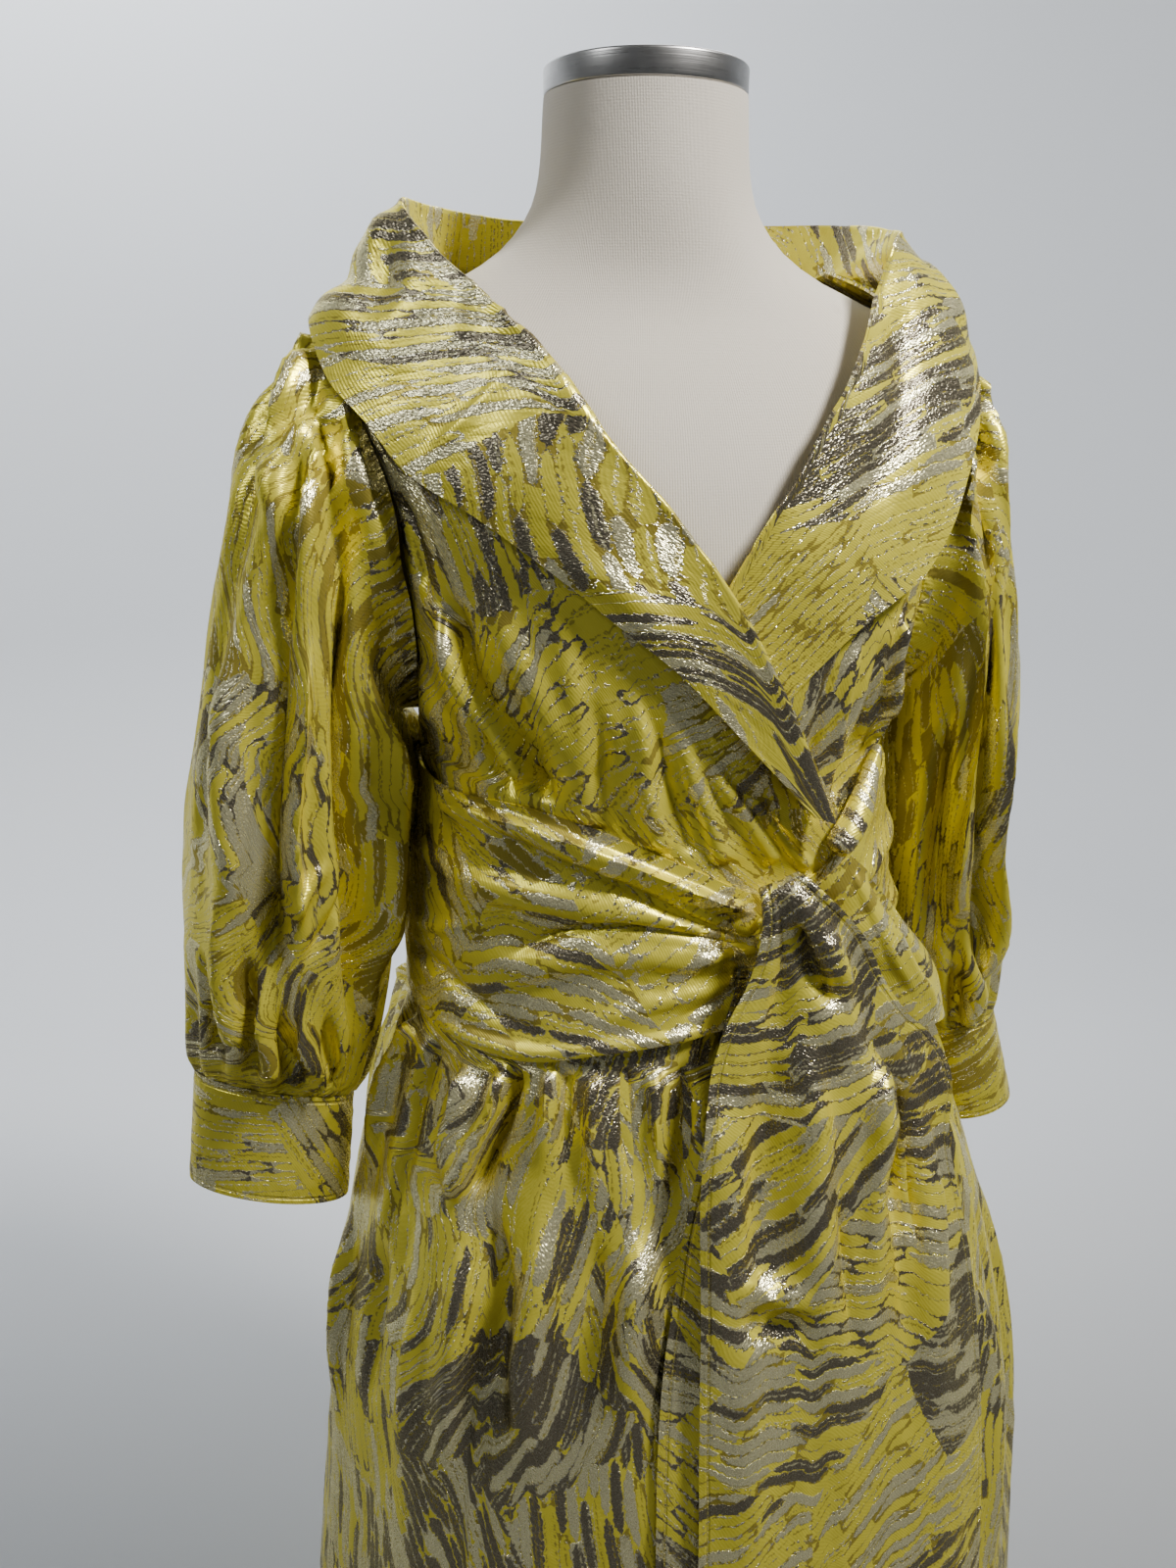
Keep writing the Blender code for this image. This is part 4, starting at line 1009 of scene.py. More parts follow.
def brushed_steel(name, stretch):
    """Steel brushed along its turning; the stretch of its noise gives the way of the brush."""
    material, tree, shader = new_material(name)
    place = add_node(tree, "TexCoord")["Object"]
    brush = grain(vector("MULTIPLY", place, stretch), 1.0, 4.0)["Fac"]
    wear = step_mask(grain(place, WEAR_SCALE, 3.0)["Fac"], *WEAR)
    nicks = add_node(tree, "TexVoronoi", {"Vector": place, "Scale": NICK_SCALE})["Distance"]
    marks = step_mask(nicks, *NICK_SIZE) * NICK_STRENGTH
    feed(shader, {"Base Color": mix(marks, mix(wear, STEEL, STEEL_WORN), STEEL_DARK), "Metallic": 1.0})
    feed(shader, {"Roughness": brush * BRUSH_ROUGH + STEEL_ROUGH})
    feed(shader, {"Normal": bump(brush, STEEL_RELIEF, STEEL_BUMP)})
    return material


for name, node, radius, bottom, top, edge, sides, stretch in STEEL_PIECES:
    piece = turned(name, radius, bottom, top, edge, sides)
    if node == "form_cap":
        sink_top(piece)
    select_only(piece)
    bpy.ops.object.shade_smooth_by_angle(angle=STEEL_SMOOTH)
    dress(piece, node, brushed_steel("brushed_" + node, stretch))
    print(name, "faces", len(piece.data.polygons))

# %% [markdown]
# ## The crossed bodice
# Two fronts cross over the chest, the right one on top, and a back joins them at the shoulders and
# sides. Every panel is bounded by its neckline on one side and by its side seam and armhole on the
# other, so a point on it is a blend between those two edges. The folds drawn towards the knot
# follow the ones that the solids have, with finer and sharper creases laid over them.

# %% Edges of the bodice panels
SEAM_GAP = 0.0006
BODY_RADIUS = 0.14
WAIST_GAP = 0.0008
UNDERARM = 1.172
NECK_BACK = 1.424
ARMHOLE_FROM = 0.34
OVER_LIFT = 0.008
OVER_RISE_FROM = 88.0
OVER_RISE_TO = 45.0
BLOUSE_LIFT = 0.009
BLOUSE_ANGLE = 60.0
BLOUSE_SPREAD = 28.0
BLOUSE_LOW = 1.155
BLOUSE_HIGH = 1.39
BLOUSE_FADE = 0.055
BLOUSE_SEAM_FADE = 12.0
FOLD_FADE = 0.03
UNCOVERED_FROM = 30.0
UNCOVERED_OVER = 12.0

# Armhole: turn from the shoulder tip over the front, angle round the body, height
ARMHOLE = table(
    "deg deg mm",
    (0, 90, 1397), (40, 74, 1378), (75, 63, 1325), (110, 63, 1262), (145, 73, 1205),
    (180, 90, 1172), (215, 107, 1205), (250, 117, 1262), (285, 117, 1325), (320, 106, 1378),
    (360, 90, 1397),
)

# Neckline of each front: share from waist to shoulder, angle, height
OVER_NECKLINE = table(
    "% deg mm",
    (0, 62, 1065.5), (15, 48, 1100), (30, 36, 1140), (45, 18, 1215), (60, 0, 1285), (72, -17, 1330),
    (85, -42, 1385), (93, -65, 1415), (100, -90, 1432),
)
UNDER_NECKLINE = table(
    "% deg mm",
    (0, -50, 1065.5), (15, -38, 1100), (30, -24, 1140), (45, -8, 1200), (60, 9, 1265),
    (72, 25, 1330), (85, 42, 1385), (93, 65, 1415), (100, 90, 1432),
)
# Middle line of each half of the back, in the same columns
BACK_MIDDLE = table(
    "% deg mm",
    (0, 135, 1065.5), (34, 135, 1175), (60, 135, 1275), (80, 128, 1360), (92, 112, 1408),
    (100, 90, 1432),
)

# Folds: start angle and height, end angle and height, width, rise
OVER_FOLDS = table(
    "deg mm deg mm mm mm",
    (-64, 1290, -34, 1155, 10, 5), (-58, 1250, -46, 1160, 9, 5), (-44, 1270, -18, 1140, 11, 2.5),
    (-72, 1215, -58, 1160, 9, 4.5), (-26, 1235, -2, 1130, 11, 2),
)
UNDER_FOLDS = table(
    "deg mm deg mm mm mm",
    (62, 1270, 48, 1140, 8, 6), (50, 1250, 40, 1150, 8, 4), (70, 1215, 60, 1165, 9, 4),
)
BACK_FOLDS = table(
    "deg mm deg mm mm mm",
    (-150, 1225, -140, 1165, 10, 4), (152, 1230, 144, 1165, 10, 4),
    (-168, 1210, -165, 1165, 10, 3.5), (170, 1205, 166, 1165, 10, 3.5),
)

# Top and bottom of the sash: angle, top height, bottom height
SASH_EDGES = table(
    "deg mm mm",
    (-180, 1150, 1000), (-120, 1150, 998), (-85, 1143, 991), (-60, 1139, 983), (-36, 1140, 981),
    (-18, 1129, 992), (0, 1107, 1001), (18, 1084, 1008), (34, 1095, 1010), (55, 1128, 1000),
    (85, 1145, 996), (120, 1150, 998), (180, 1150, 1000),
)


def to_flat(angle, height):
    return np.stack(np.broadcast_arrays(np.radians(angle) * BODY_RADIUS, height), axis=-1)


def ridge(place, start, end, width):
    """Height from 0 to 1 of a fold between two places, tapered at both ends."""
    line = end - start
    part = ((place - start) * line).sum(-1) / (line * line).sum()
    aside = np.linalg.norm(place - start - line * part[..., None], axis=-1) / width
    return np.exp(-aside * aside) * np.sin(math.pi * np.clip(part, 0.0, 1.0))


def all_ridges(folds, place, depth=1.0):
    """The rise of all folds of a table; its heights are shares of a depth."""
    total = 0.0
    for start_angle, start_height, end_angle, end_height, width, rise in folds:
        start = to_flat(start_angle, start_height * depth)
        end = to_flat(end_angle, end_height * depth)
        total = total + rise * ridge(place, start, end, width)
    return total


def body_folds(folds, angle, height):
    above_sash = ease((height - along(SASH_EDGES, angle)[0]) / FOLD_FADE)
    return all_ridges(folds, to_flat(angle, height)) * above_sash


def over_lift(angle):
    return OVER_LIFT * ease((angle + OVER_RISE_FROM) / (OVER_RISE_FROM - OVER_RISE_TO))


def under_lift(angle, height):
    spread = (angle - BLOUSE_ANGLE) / BLOUSE_SPREAD
    level = ease((height - BLOUSE_LOW) / BLOUSE_FADE) * ease((BLOUSE_HIGH - height) / BLOUSE_FADE)
    return BLOUSE_LIFT * np.exp(-spread * spread) * level * ease((90.0 - angle) / BLOUSE_SEAM_FADE)


def panel_lift(side, angle, height):
    """Lift of the front panel on the wearer's right (-1) or left (1), its folds included."""
    if side < 0:
        lift = over_lift(angle) + body_folds(OVER_FOLDS, angle, height)
    else:
        uncovered = ease((angle - UNCOVERED_FROM) / UNCOVERED_OVER)
        lift = under_lift(angle, height) + uncovered * body_folds(UNDER_FOLDS, angle, height)
    return np.where(np.abs(angle) > 90.0, 0.0, lift)


def seam_angle(height):
    return np.degrees(SEAM_GAP / 2.0 / along(GOWN_RINGS, height)[0])


def panel_edge(side, part, back):
    """Side seam from the waist to the underarm, then the armhole up to the shoulder tip."""
    turn = 180.0 * (1.0 - (part - ARMHOLE_FROM) / (1.0 - ARMHOLE_FROM))
    hole_angle, hole_height = along(ARMHOLE, 360.0 - turn if back else turn)
    seam_height = blend(WAIST + WAIST_GAP / 2.0, UNDERARM, part / ARMHOLE_FROM)
    below = part < ARMHOLE_FROM
    angle = np.where(below, 90.0, hole_angle)
    height = np.where(below, seam_height, hole_height)
    gap = seam_angle(height)
    angle = np.maximum(angle, 90.0 + gap) if back else np.minimum(angle, 90.0 - gap)
    return side * angle, height


def front_panel(side, neckline, across, up):
    """From the side to the neckline on the wearer's right, and from the neckline on the left."""
    edge_angle, edge_height = panel_edge(side, up, back=False)
    neck_angle, neck_height = along(neckline, up)
    limit = 90.0 - seam_angle(neck_height)
    inward = across if side < 0 else 1.0 - across
    angle = blend(edge_angle, np.clip(neck_angle, -limit, limit), inward)
    height = blend(edge_height, neck_height, inward)
    return skin(angle, height, panel_lift(side, angle, height))


def back_panel(across, up):
    """From the left side, over the centre back, to the right side."""
    side = np.where(across < 0.5, 1.0, -1.0)
    part = np.abs(across - 0.5) * 2.0
    edge_angle, edge_height = panel_edge(1, up, back=True)
    middle_angle, middle_height = along(BACK_MIDDLE, up)
    middle_angle = np.maximum(middle_angle, 90.0 + seam_angle(middle_height))
    centre_height = blend(WAIST + WAIST_GAP / 2.0, NECK_BACK, up)
    inner = part < 0.5
    share = np.where(inner, part * 2.0, part * 2.0 - 1.0)

    def joined(centre, middle, edge):
        return np.where(inner, blend(centre, middle, share), blend(middle, edge, share))

    angle = joined(180.0, middle_angle, edge_angle)
    height = joined(centre_height, middle_height, edge_height)
    return skin(side * angle, height, body_folds(BACK_FOLDS, side * angle, height))


print("bodice edges ready")

# %% Sew the bodice panels
OVER_CREASES = creases(
    (7.5, -7.5, 0, 25, 15, 8, 55, 20, 47, 32, 40, 37, 33, 40, 26),
    (8.5, 9.5, -0.7, 30, 12, 16, 58, 21, 53, 29, 46, 39, 39, 45, 30),
    (7.5, -11.5, 0, 25, 10, 23, 59, 28, 50, 36, 43, 45, 35, 46, 27),
    (10.5, 3.4, 0.7, 40, 6, 56, 58, 55, 48, 56, 38, 53, 23),
    (7.5, -3.6, 0, 50, 6, 58, 47, 59, 38, 54, 22),
    (12, 3.4, 0, 40, 30, 38, 60, 41, 52, 49, 42, 54, 32),
    (7, 4.4, 1, 35, 10, 68, 47, 67, 37, 63, 19),
    (6, 3.7, -1, 35, 10, 74, 42, 74, 33, 71, 16),
    (5.5, 3.7, 0, 35, 10, 79, 39, 80, 28, 80, 15),
    (5, -3.1, 0, 35, 10, 70, 44, 70, 35, 67, 18),
    (4.5, 3.5, 0, 30, 10, 83, 33, 84, 20, 85, 12),
    (6, -3.7, 0, 30, 30, 7, 70, 9, 64, 13, 57),
    (18, 4, 0, 30, 40, 11, 20, 10, 33, 9, 48),
)
UNDER_CREASES = creases(
    (6, 7, -1, 10, 10, 80, 56, 74, 46, 70, 33, 66, 21),
    (6.5, -4.5, 0, 20, 10, 70, 54, 65, 43, 62, 31, 60, 20),
    (6, 3.5, 1, 25, 10, 60, 58, 56, 46, 55, 33, 56, 20),
    (7, -4, 0, 25, 15, 88, 50, 82, 40, 76, 30, 72, 20),
    (5, -3, 0, 30, 20, 50, 56, 48, 45, 48, 33, 50, 22),
    (5.5, 4.5, 1, 30, 15, 93, 43, 88, 34, 84, 25),
)
BACK_CREASES = creases(
    (7, 6, 1, 25, 15, 10, 52, 16, 40, 24, 26),
    (6, -5, 0, 25, 15, 18, 55, 22, 42, 28, 27),
    (6.5, 4.5, -1, 30, 15, 30, 50, 33, 40, 36, 26),
    (6, 3.5, 0, 35, 15, 43, 47, 44, 38, 45, 27),
    (5.5, -3.5, 0, 35, 15, 55, 49, 55, 39, 54, 26),
    (6.5, 5, 1, 30, 15, 67, 53, 64, 41, 62, 27),
    (6, -5, 0, 30, 15, 78, 56, 74, 43, 70, 27),
    (7, 6, -1, 25, 15, 90, 51, 85, 40, 78, 26),
)
# Where each front is pressed flat under the collar: share across, share up of the collar's edge
OVER_PRESSED = table(
    "% %",
    (0, 86), (6, 75.6), (17, 71.7), (32, 68.5), (46.5, 64.7), (59, 59.5), (67, 55.4), (74.5, 50.7),
    (82, 44.4), (88.3, 36.8), (93.6, 25.2), (100, 18),
)
UNDER_PRESSED = table(
    "% %",
    (0, 25), (20, 30), (31.4, 41.2), (37, 45.5), (44.4, 49.7), (54.4, 53.3), (65, 55.8), (78, 57.5),
    (90, 59), (100, 65),
)
# Crumples: size, stretch down the cloth, rise, seed, share of the cloth that it fades over
BODICE_CRUMPLE = ((0.045, 2.2, 0.0008, 3.0, 0.06), (0.016, 2.2, 0.00025, 8.0, 0.05))
# Name, solid, shape, cells, creases, place on the bolt, look (turn, taupe share, spread), how it is cut
BODICE = (
    ("bodice_right", "bodice_front_right", partial(front_panel, -1, OVER_NECKLINE), (150, 160), OVER_CREASES,
     (0.31, 0.52), (0.1, -0.02, 0.7), {"pressed": OVER_PRESSED}),
    ("bodice_left", "bodice_front_left", partial(front_panel, 1, UNDER_NECKLINE), (116, 126), UNDER_CREASES,
     (1.74, 0.23), (0.25, 0.0, 0.6), {"pressed": UNDER_PRESSED}),
    ("bodice_rear", "bodice_back", back_panel, (120, 84), BACK_CREASES, (2.93, 0.61), (), {"flip": True}),
)
for name, node, shape, cells, folds, place, look, cut in BODICE:
    sew(name, node, shape, cells, folds, BODICE_CRUMPLE, "stretched", ["form_jersey"], place, look, **cut)

# %% [markdown]
# ## The portrait collar
# The collar is one wide band on each side, sewn to the neckline. It stands up behind the neck,
# rolls over and falls on the shoulder. Tables hold the rolled edge and the outer edge along the
# band, and a smooth curve joins the seam, the roll and the edge across it.

# %% Cut both halves of the collar
COLLAR_CLOTH = 0.0016
ROLL_DROP = 0.007
ROLL_HALF_GAP = 0.0014
CENTRE_BACK_GAP = 0.0002
COLLAR_SEAM_LIFT = 0.0034
# Share from centre back to tip, roll x y z, outer edge x y z, seam angle and height, swell
COLLAR_RIGHT = table(
    "% mm mm mm mm mm mm deg mm mm",
    (0, 0, 90, 1463, 0, 146, 1388, -180, 1421, 6),
    (10, -42, 86, 1463, -64, 140, 1388, -152, 1424, 6),
    (20, -80, 63, 1463, -128, 110, 1391, -128, 1427, 6),
    (29, -114, 20, 1463, -178, 48, 1399, -106, 1428, 6),
    (36, -138, -28, 1462, -192, -14, 1404, -90, 1427, 6),
    (44, -122.5, -60, 1437, -182, -50, 1372, -68, 1411, 6),
    (52, -95, -80, 1411, -162, -74, 1350, -48, 1385, 5),
    (60, -75, -98, 1390, -139, -92, 1323, -34, 1358, 5),
    (68, -47, -121, 1352, -105, -114, 1303, -21, 1334, 4),
    (76, -12, -136, 1314, -60, -132, 1271, -9, 1302, 3),
    (82, 8, -142, 1289, -35, -140, 1251, -3, 1280, 2),
    (88, 30, -147, 1258, 0, -146, 1223, 5, 1250, 1),
    (94, 60, -146, 1204, 37, -147, 1184, 18, 1198, 0),
    (100, 95, -136, 1131, 81, -141, 1137, 31, 1140, 0),
)
COLLAR_LEFT = table(
    "% mm mm mm mm mm mm deg mm mm",
    (0, 0, 90, 1463, 0, 146, 1388, 180, 1421, 6),
    (10, 48, 87, 1463, 68, 140, 1388, 152, 1424, 6),
    (20, 94, 66, 1463, 134, 110, 1391, 128, 1427, 6),
    (29, 131, 26, 1460, 184, 48, 1396, 106, 1428, 6),
    (36, 146, -20, 1453, 199, -6, 1396, 90, 1427, 6),
    (42, 135, -48, 1445, 197, -38, 1374, 74, 1416, 6),
    (48, 121, -64, 1417, 190, -61, 1345, 60, 1401, 6),
    (54, 109, -83, 1391, 179, -77, 1318, 47, 1383, 6),
    (60, 98, -97, 1371, 168, -88, 1292, 39, 1366, 6),
    (66, 79, -113, 1346, 150, -100, 1268, 32, 1343, 5),
    (72, 63, -124, 1322, 130, -110, 1255, 27, 1325, 4),
    (80, 48, -131, 1303, 106, -118, 1240, 21, 1297, 3),
    (88, 27, -133.5, 1268, 77, -123.5, 1214, 11, 1262, 1),
    (96, 6, -134.2, 1232, 50, -128, 1186, -2, 1218, 0),
)


def through(points, part):
    """A smooth curve through evenly spaced points that differ from place to place."""
    stack = np.stack(points)
    where = np.indices(part.shape)
    keys = np.arange(len(points), dtype=float)
    return hermite(keys, lambda index: stack[(index, *where)], part * keys[-1])


def collar_point(rows, side, across, part):
    """Up the stand from the seam, over the roll and down the fall."""
    values = along(rows, part * rows[-1, 0])
    roll = np.moveaxis(values[0:3], 0, -1)
    edge = np.moveaxis(values[3:6], 0, -1)
    seam_turn, seam_height, swell = values[6:9]
    seam = skin(seam_turn, seam_height, panel_lift(side, seam_turn, seam_height) + COLLAR_SEAM_LIFT)
    to_seam = unit(seam - roll)
    to_edge = unit(edge - roll)
    down = unit(to_seam + to_edge)
    inward = to_seam - to_edge
    inward = unit(inward - down * (inward * down).sum(-1, keepdims=True))
    slope = np.tan(np.arccos(np.minimum((down * to_edge).sum(-1, keepdims=True), 1.0)))
    half_gap = np.maximum(ROLL_HALF_GAP, ROLL_DROP * slope)
    stand_top = roll + down * ROLL_DROP + inward * half_gap
    fall_top = roll + down * ROLL_DROP - inward * half_gap
    fall_middle = (fall_top + edge) / 2.0 - inward * swell[..., None]
    place = through((seam, (seam + stand_top) / 2.0, stand_top, roll, fall_top, fall_middle, edge), across)
    place[..., 0] += side * CENTRE_BACK_GAP
    return place


RIGHT_COLLAR_CREASES = creases(
    (12, -3, 0, 20, 40, 68, 38, 78, 42, 89, 41),
    (16, 3, 0, 30, 30, 37, 48, 30, 61, 74, 72),
    (10, 2, 0, 30, 30, 95, 73, 90, 81, 95, 88),
    (13, -6.2, 0, 25, 60, 90, 29, 86, 35, 77, 41, 70, 47),
    (9, 2.5, 0, 30, 50, 74, 30, 71, 36, 66, 42),
)
LEFT_COLLAR_CREASES = creases(
    (10, -3, 0, 20, 40, 72, 36, 82, 40, 95, 42),
    (14, 3, 0, 30, 30, 72, 46, 78, 60, 80, 74),
)
COLLAR_CRUMPLE = ((0.05, 0.8, 0.0007, 5.0, 0.05), (0.02, 1.0, 0.00025, 2.0, 0.05))
for side, name, rows, folds, place, look in (
    (-1, "right", COLLAR_RIGHT, RIGHT_COLLAR_CREASES, (4.17, 0.37), (0.9, 0.07)),
    (1, "left", COLLAR_LEFT, LEFT_COLLAR_CREASES, (5.41, 0.83), (-1.2, 0.0)),
):
    shape = partial(collar_point, rows, side)
    sew("collar_band_" + name, "collar_" + name, shape, (60, 160), folds, COLLAR_CRUMPLE, "folded",
        ["bodice_" + name], place, look, wall=COLLAR_CLOTH, grows=0.0)

# %% [markdown]
# ## Puffed sleeves and cuffs
# Each sleeve is a tube that leaves the armhole, puffs out under deep pleats and gathers into a
# narrow cuff. A table of tilted ovals leads the tube down the arm. The pleats start sharp at the
# head and open into flutes; the gathers come back near the cuff.

# %% Ovals and pleats of the sleeves
SLEEVE_SEAM_LIFT = 0.0031
HEAD_EASE = 0.13
PLEAT_EASE = 0.10
PLEAT_FADE = 0.35
PLEAT_SPREAD = 0.8
CUFF_GATHERS = 16
CUFF_GATHER_RISE = 0.0028
CUFF_GATHERS_FROM = 0.72
CUFF_GATHERS_OVER = 0.22
CUFF_GATHER_TURN = 20.0
CUFF_SEAM_FROM = 0.96
CUFF_SEAM_OVER = 0.04
CUFF_SEAM_EASE = 0.55
# Share down the sleeve, centre x (outward), y, z, lean, pitch, half height, half depth
SLEEVE_RIGHT = table(
    "% mm mm mm deg deg mm mm",
    (0, 164, 0, 1285, 82, 0, 114, 66),
    (12, 179, 0, 1271, 75, 0, 104, 76),
    (26, 197, 0, 1222, 50, 0, 76, 79),
    (44, 210, -2, 1150, 26, 0, 65, 77),
    (62, 222, -6, 1080, 15, 2, 68, 76),
    (78, 234, -10, 1010, 11, 8, 67, 70),
    (90, 242, -15, 956, 12, 13, 63, 58),
    (97, 248, -19, 925, 14, 16, 59.5, 46),
    (100, 250.5, -20, 913, 15, 18, 55, 37.5),
)
SLEEVE_LEFT = table(
    "% mm mm mm deg deg mm mm",
    (0, 172, 0, 1285, 82, 0, 112, 62),
    (12, 190, 0, 1270, 80, 0, 99, 68),
    (26, 203, 5, 1222, 52, 0, 62, 67),
    (44, 216, 10, 1150, 26, 0, 53, 64),
    (62, 225, 18, 1075, 14, 0, 51.5, 62),
    (78, 237, 28, 1000, 10, 4, 50, 58),
    (90, 250, 36, 942, 11, 8, 45.5, 52),
    (97, 258.5, 42, 905, 12, 10, 42, 46),
    (100, 262.5, 44, 892, 12, 12, 39.5, 42),
)
CUFF_RIGHT = table(
    "% mm mm mm deg deg mm mm",
    (0, 250.7, -20.2, 912.3, 15, 18, 54.5, 37),
    (100, 261, -23, 829, 14, 15, 55.5, 35),
)
CUFF_LEFT = table(
    "% mm mm mm deg deg mm mm",
    (0, 262.7, 43.8, 891.3, 12, 12, 39, 41.5),
    (100, 291.5, 50, 806, 13, 10, 38.5, 42.5),
)
# Pleats: turn at the head, turn lower down, width, rise, where it fades out
SLEEVE_PLEATS = table(
    "deg deg deg mm %",
    (-64, -78, 9, 6, 62), (-38, -50, 8, 7, 70), (-16, -22, 8, 7, 78), (6, 5, 8, 7, 86),
    (26, 32, 8, 9, 80), (46, 62, 8, 8, 92), (68, 92, 8, 7, 84), (96, 126, 10, 5, 74),
)


def sleeve_ring(rows, side, around, down, swell=0.0):
    """A point on a sleeve's oval ring; around 0 is outward and up, a quarter is the front."""
    centre_x, centre_y, centre_z, lean, pitch, half_height, half_depth = along(rows, down)
    lean, pitch, turn = np.radians(lean), np.radians(pitch), 2.0 * math.pi * around
    zero = 0.0 * lean
    outward = np.stack([side * np.cos(lean), zero, np.sin(lean)], axis=-1)
    forward = np.stack([zero, -np.cos(pitch), np.sin(pitch)], axis=-1)
    centre = np.stack([side * centre_x, centre_y, centre_z], axis=-1)
    reach = outward * (half_height * np.cos(turn))[..., None]
    reach = reach + forward * (half_depth * np.sin(turn))[..., None]
    return centre + reach + unit(reach) * np.broadcast_to(swell, turn.shape)[..., None]


def sleeve_swell(down, turn):
    """Pleats from the head, then gathers into the cuff."""
    signed = (turn + 180.0) % 360.0 - 180.0
    total = 0.0
    for head_turn, low_turn, width, rise, fade in SLEEVE_PLEATS:
        aside = (signed - blend(head_turn, low_turn, down)) / (width * (1.0 + PLEAT_SPREAD * down))
        total = total + rise * np.exp(-aside * aside) * ease((fade - down) / PLEAT_FADE)
    gathered = ease((down - CUFF_GATHERS_FROM) / CUFF_GATHERS_OVER)
    eased = 1.0 - CUFF_SEAM_EASE * ease((down - CUFF_SEAM_FROM) / CUFF_SEAM_OVER)
    wave = np.cos(np.radians(CUFF_GATHERS * turn + CUFF_GATHER_TURN))
    return total * ease(down / PLEAT_EASE) + CUFF_GATHER_RISE * gathered * eased * wave


def sleeve_point(rows, side, around, down):
    turn = 360.0 * around
    ring = sleeve_ring(rows, side, around, down, sleeve_swell(down, turn))
    angle, height = along(ARMHOLE, turn)
    base = np.where(turn < 180.0, panel_lift(side, side * angle, height), 0.0)
    seam = skin(side * angle, height, base + SLEEVE_SEAM_LIFT)
    return blend(seam, ring, ease(down / HEAD_EASE)[..., None])


print("sleeve ovals ready")

# %% Sew the sleeves and their cuffs
RIGHT_SLEEVE_CREASES = creases(
    (12.5, 5.5, 0.4, 5, 50, 1, 7, 2, 11, 2, 14, 2, 18, 7, 23, 7, 31),
    (7.2, -7.8, 0, 15, 50, 1, 8, 2, 12, 6, 17, 9, 20, 12, 27),
    (8.5, 6.5, 0.6, 12, 50, 4, 7, 7, 11, 9, 14, 11, 17, 16, 19, 20, 24),
    (5.5, -4.5, 0, 30, 30, 10, 7, 11, 11, 9, 16),
    (7.5, -8.8, 0, 12, 60, 11, 8, 14, 11, 16, 14, 19, 17, 21, 23),
    (9.5, 9, -0.6, 15, 60, 12, 9, 14, 11, 17, 12, 20, 17, 23, 26),
    (9.5, -8.8, 0, 12, 50, 13, 7, 18, 10, 23, 11, 27, 18, 30, 29),
    (11.5, 8.5, 0.6, 15, 40, 12, 6, 17, 7, 22, 7, 27, 6, 34, 2),
    (13.4, 9.5, 0, 30, 40, 13, 29, 14, 41, 17, 57, 19, 76),
    (9.2, -16.5, 0, 20, 25, 16, 14, 19, 23, 21, 33, 22, 45, 23, 61, 24, 83),
    (10.6, 13.5, -1, 30, 40, 23, 21, 25, 30, 24, 42, 25, 57, 28, 74),
    (9.8, -16.5, 0, 20, 15, 25, 12, 29, 27, 33, 51, 37, 74, 41, 90),
    (10.6, 13.5, -1, 30, 25, 32, 13, 39, 37, 40, 61, 43, 85),
    (28, 8.5, 0, 30, 40, 50, 18, 51, 30, 51, 43, 50, 57, 49, 70),
    (6.2, -7.8, 0, 30, 25, 47, 43, 46, 57, 43, 69, 44, 83),
    (6.7, 7.8, 0, 20, 40, 47, 41, 47, 54, 45, 68),
    (5, 5.4, 1, 30, 40, 30, 55, 27, 62, 24, 69),
    (5, -4.7, 0, 30, 40, 34, 60, 31, 69, 28, 76),
    (8.4, 7.8, 1, 40, 8, 16, 63, 17, 78, 19, 91),
    (5.6, -8.5, 0, 40, 5, 20, 72, 21, 84, 22, 95),
    (5, 7.8, 0, 40, 5, 23, 78, 24, 89, 25, 96),
    (4.5, -7.8, 0, 40, 5, 26, 81, 27, 91, 29, 98),
    (5, 7.8, 1, 40, 5, 29, 81, 30, 90, 33, 98),
    (4.5, -7, 0, 40, 5, 33, 83, 35, 92, 37, 98),
    (5, -7.8, 0, 40, 5, 12, 75, 13, 86, 14, 94),
)
LEFT_SLEEVE_CREASES = creases(
    (42, -6.5, 0, 25, 30, 4, 10, 5, 25, 6, 50, 7, 85),
    (7.3, -10.5, 0, 8, 50, 10, 8, 14, 10, 20, 13, 23, 23),
    (7.8, 6.5, 1, 8, 50, 7, 10, 11, 12, 16, 17, 21, 28),
    (7.8, 7.5, 1, 8, 40, 14, 7, 20, 9, 26, 16, 26, 41),
    (6.7, -10.5, 0, 30, 25, 23, 18, 24, 41, 23, 66, 21, 92),
    (9, 9.7, -1, 30, 30, 26, 24, 26, 47, 27, 65, 28, 81),
    (7.8, 9, 1, 30, 20, 21, 28, 21, 49, 17, 79, 18, 99),
    (8.4, -10.5, 0, 30, 30, 30, 31, 32, 49, 32, 69, 33, 84),
    (5, 6.7, 0, 40, 5, 25, 81, 24, 93, 24, 100),
    (4.5, -6.7, 0, 40, 5, 27, 85, 27, 95, 26, 100),
)
SLEEVE_CRUMPLE = ((0.030, 4.0, 0.0012, 4.0, 0.30), (0.012, 3.0, 0.0004, 9.0, 0.30))
CUFF_CRUMPLE = ((0.018, 1.0, 0.0005, 6.0, 0.1),)
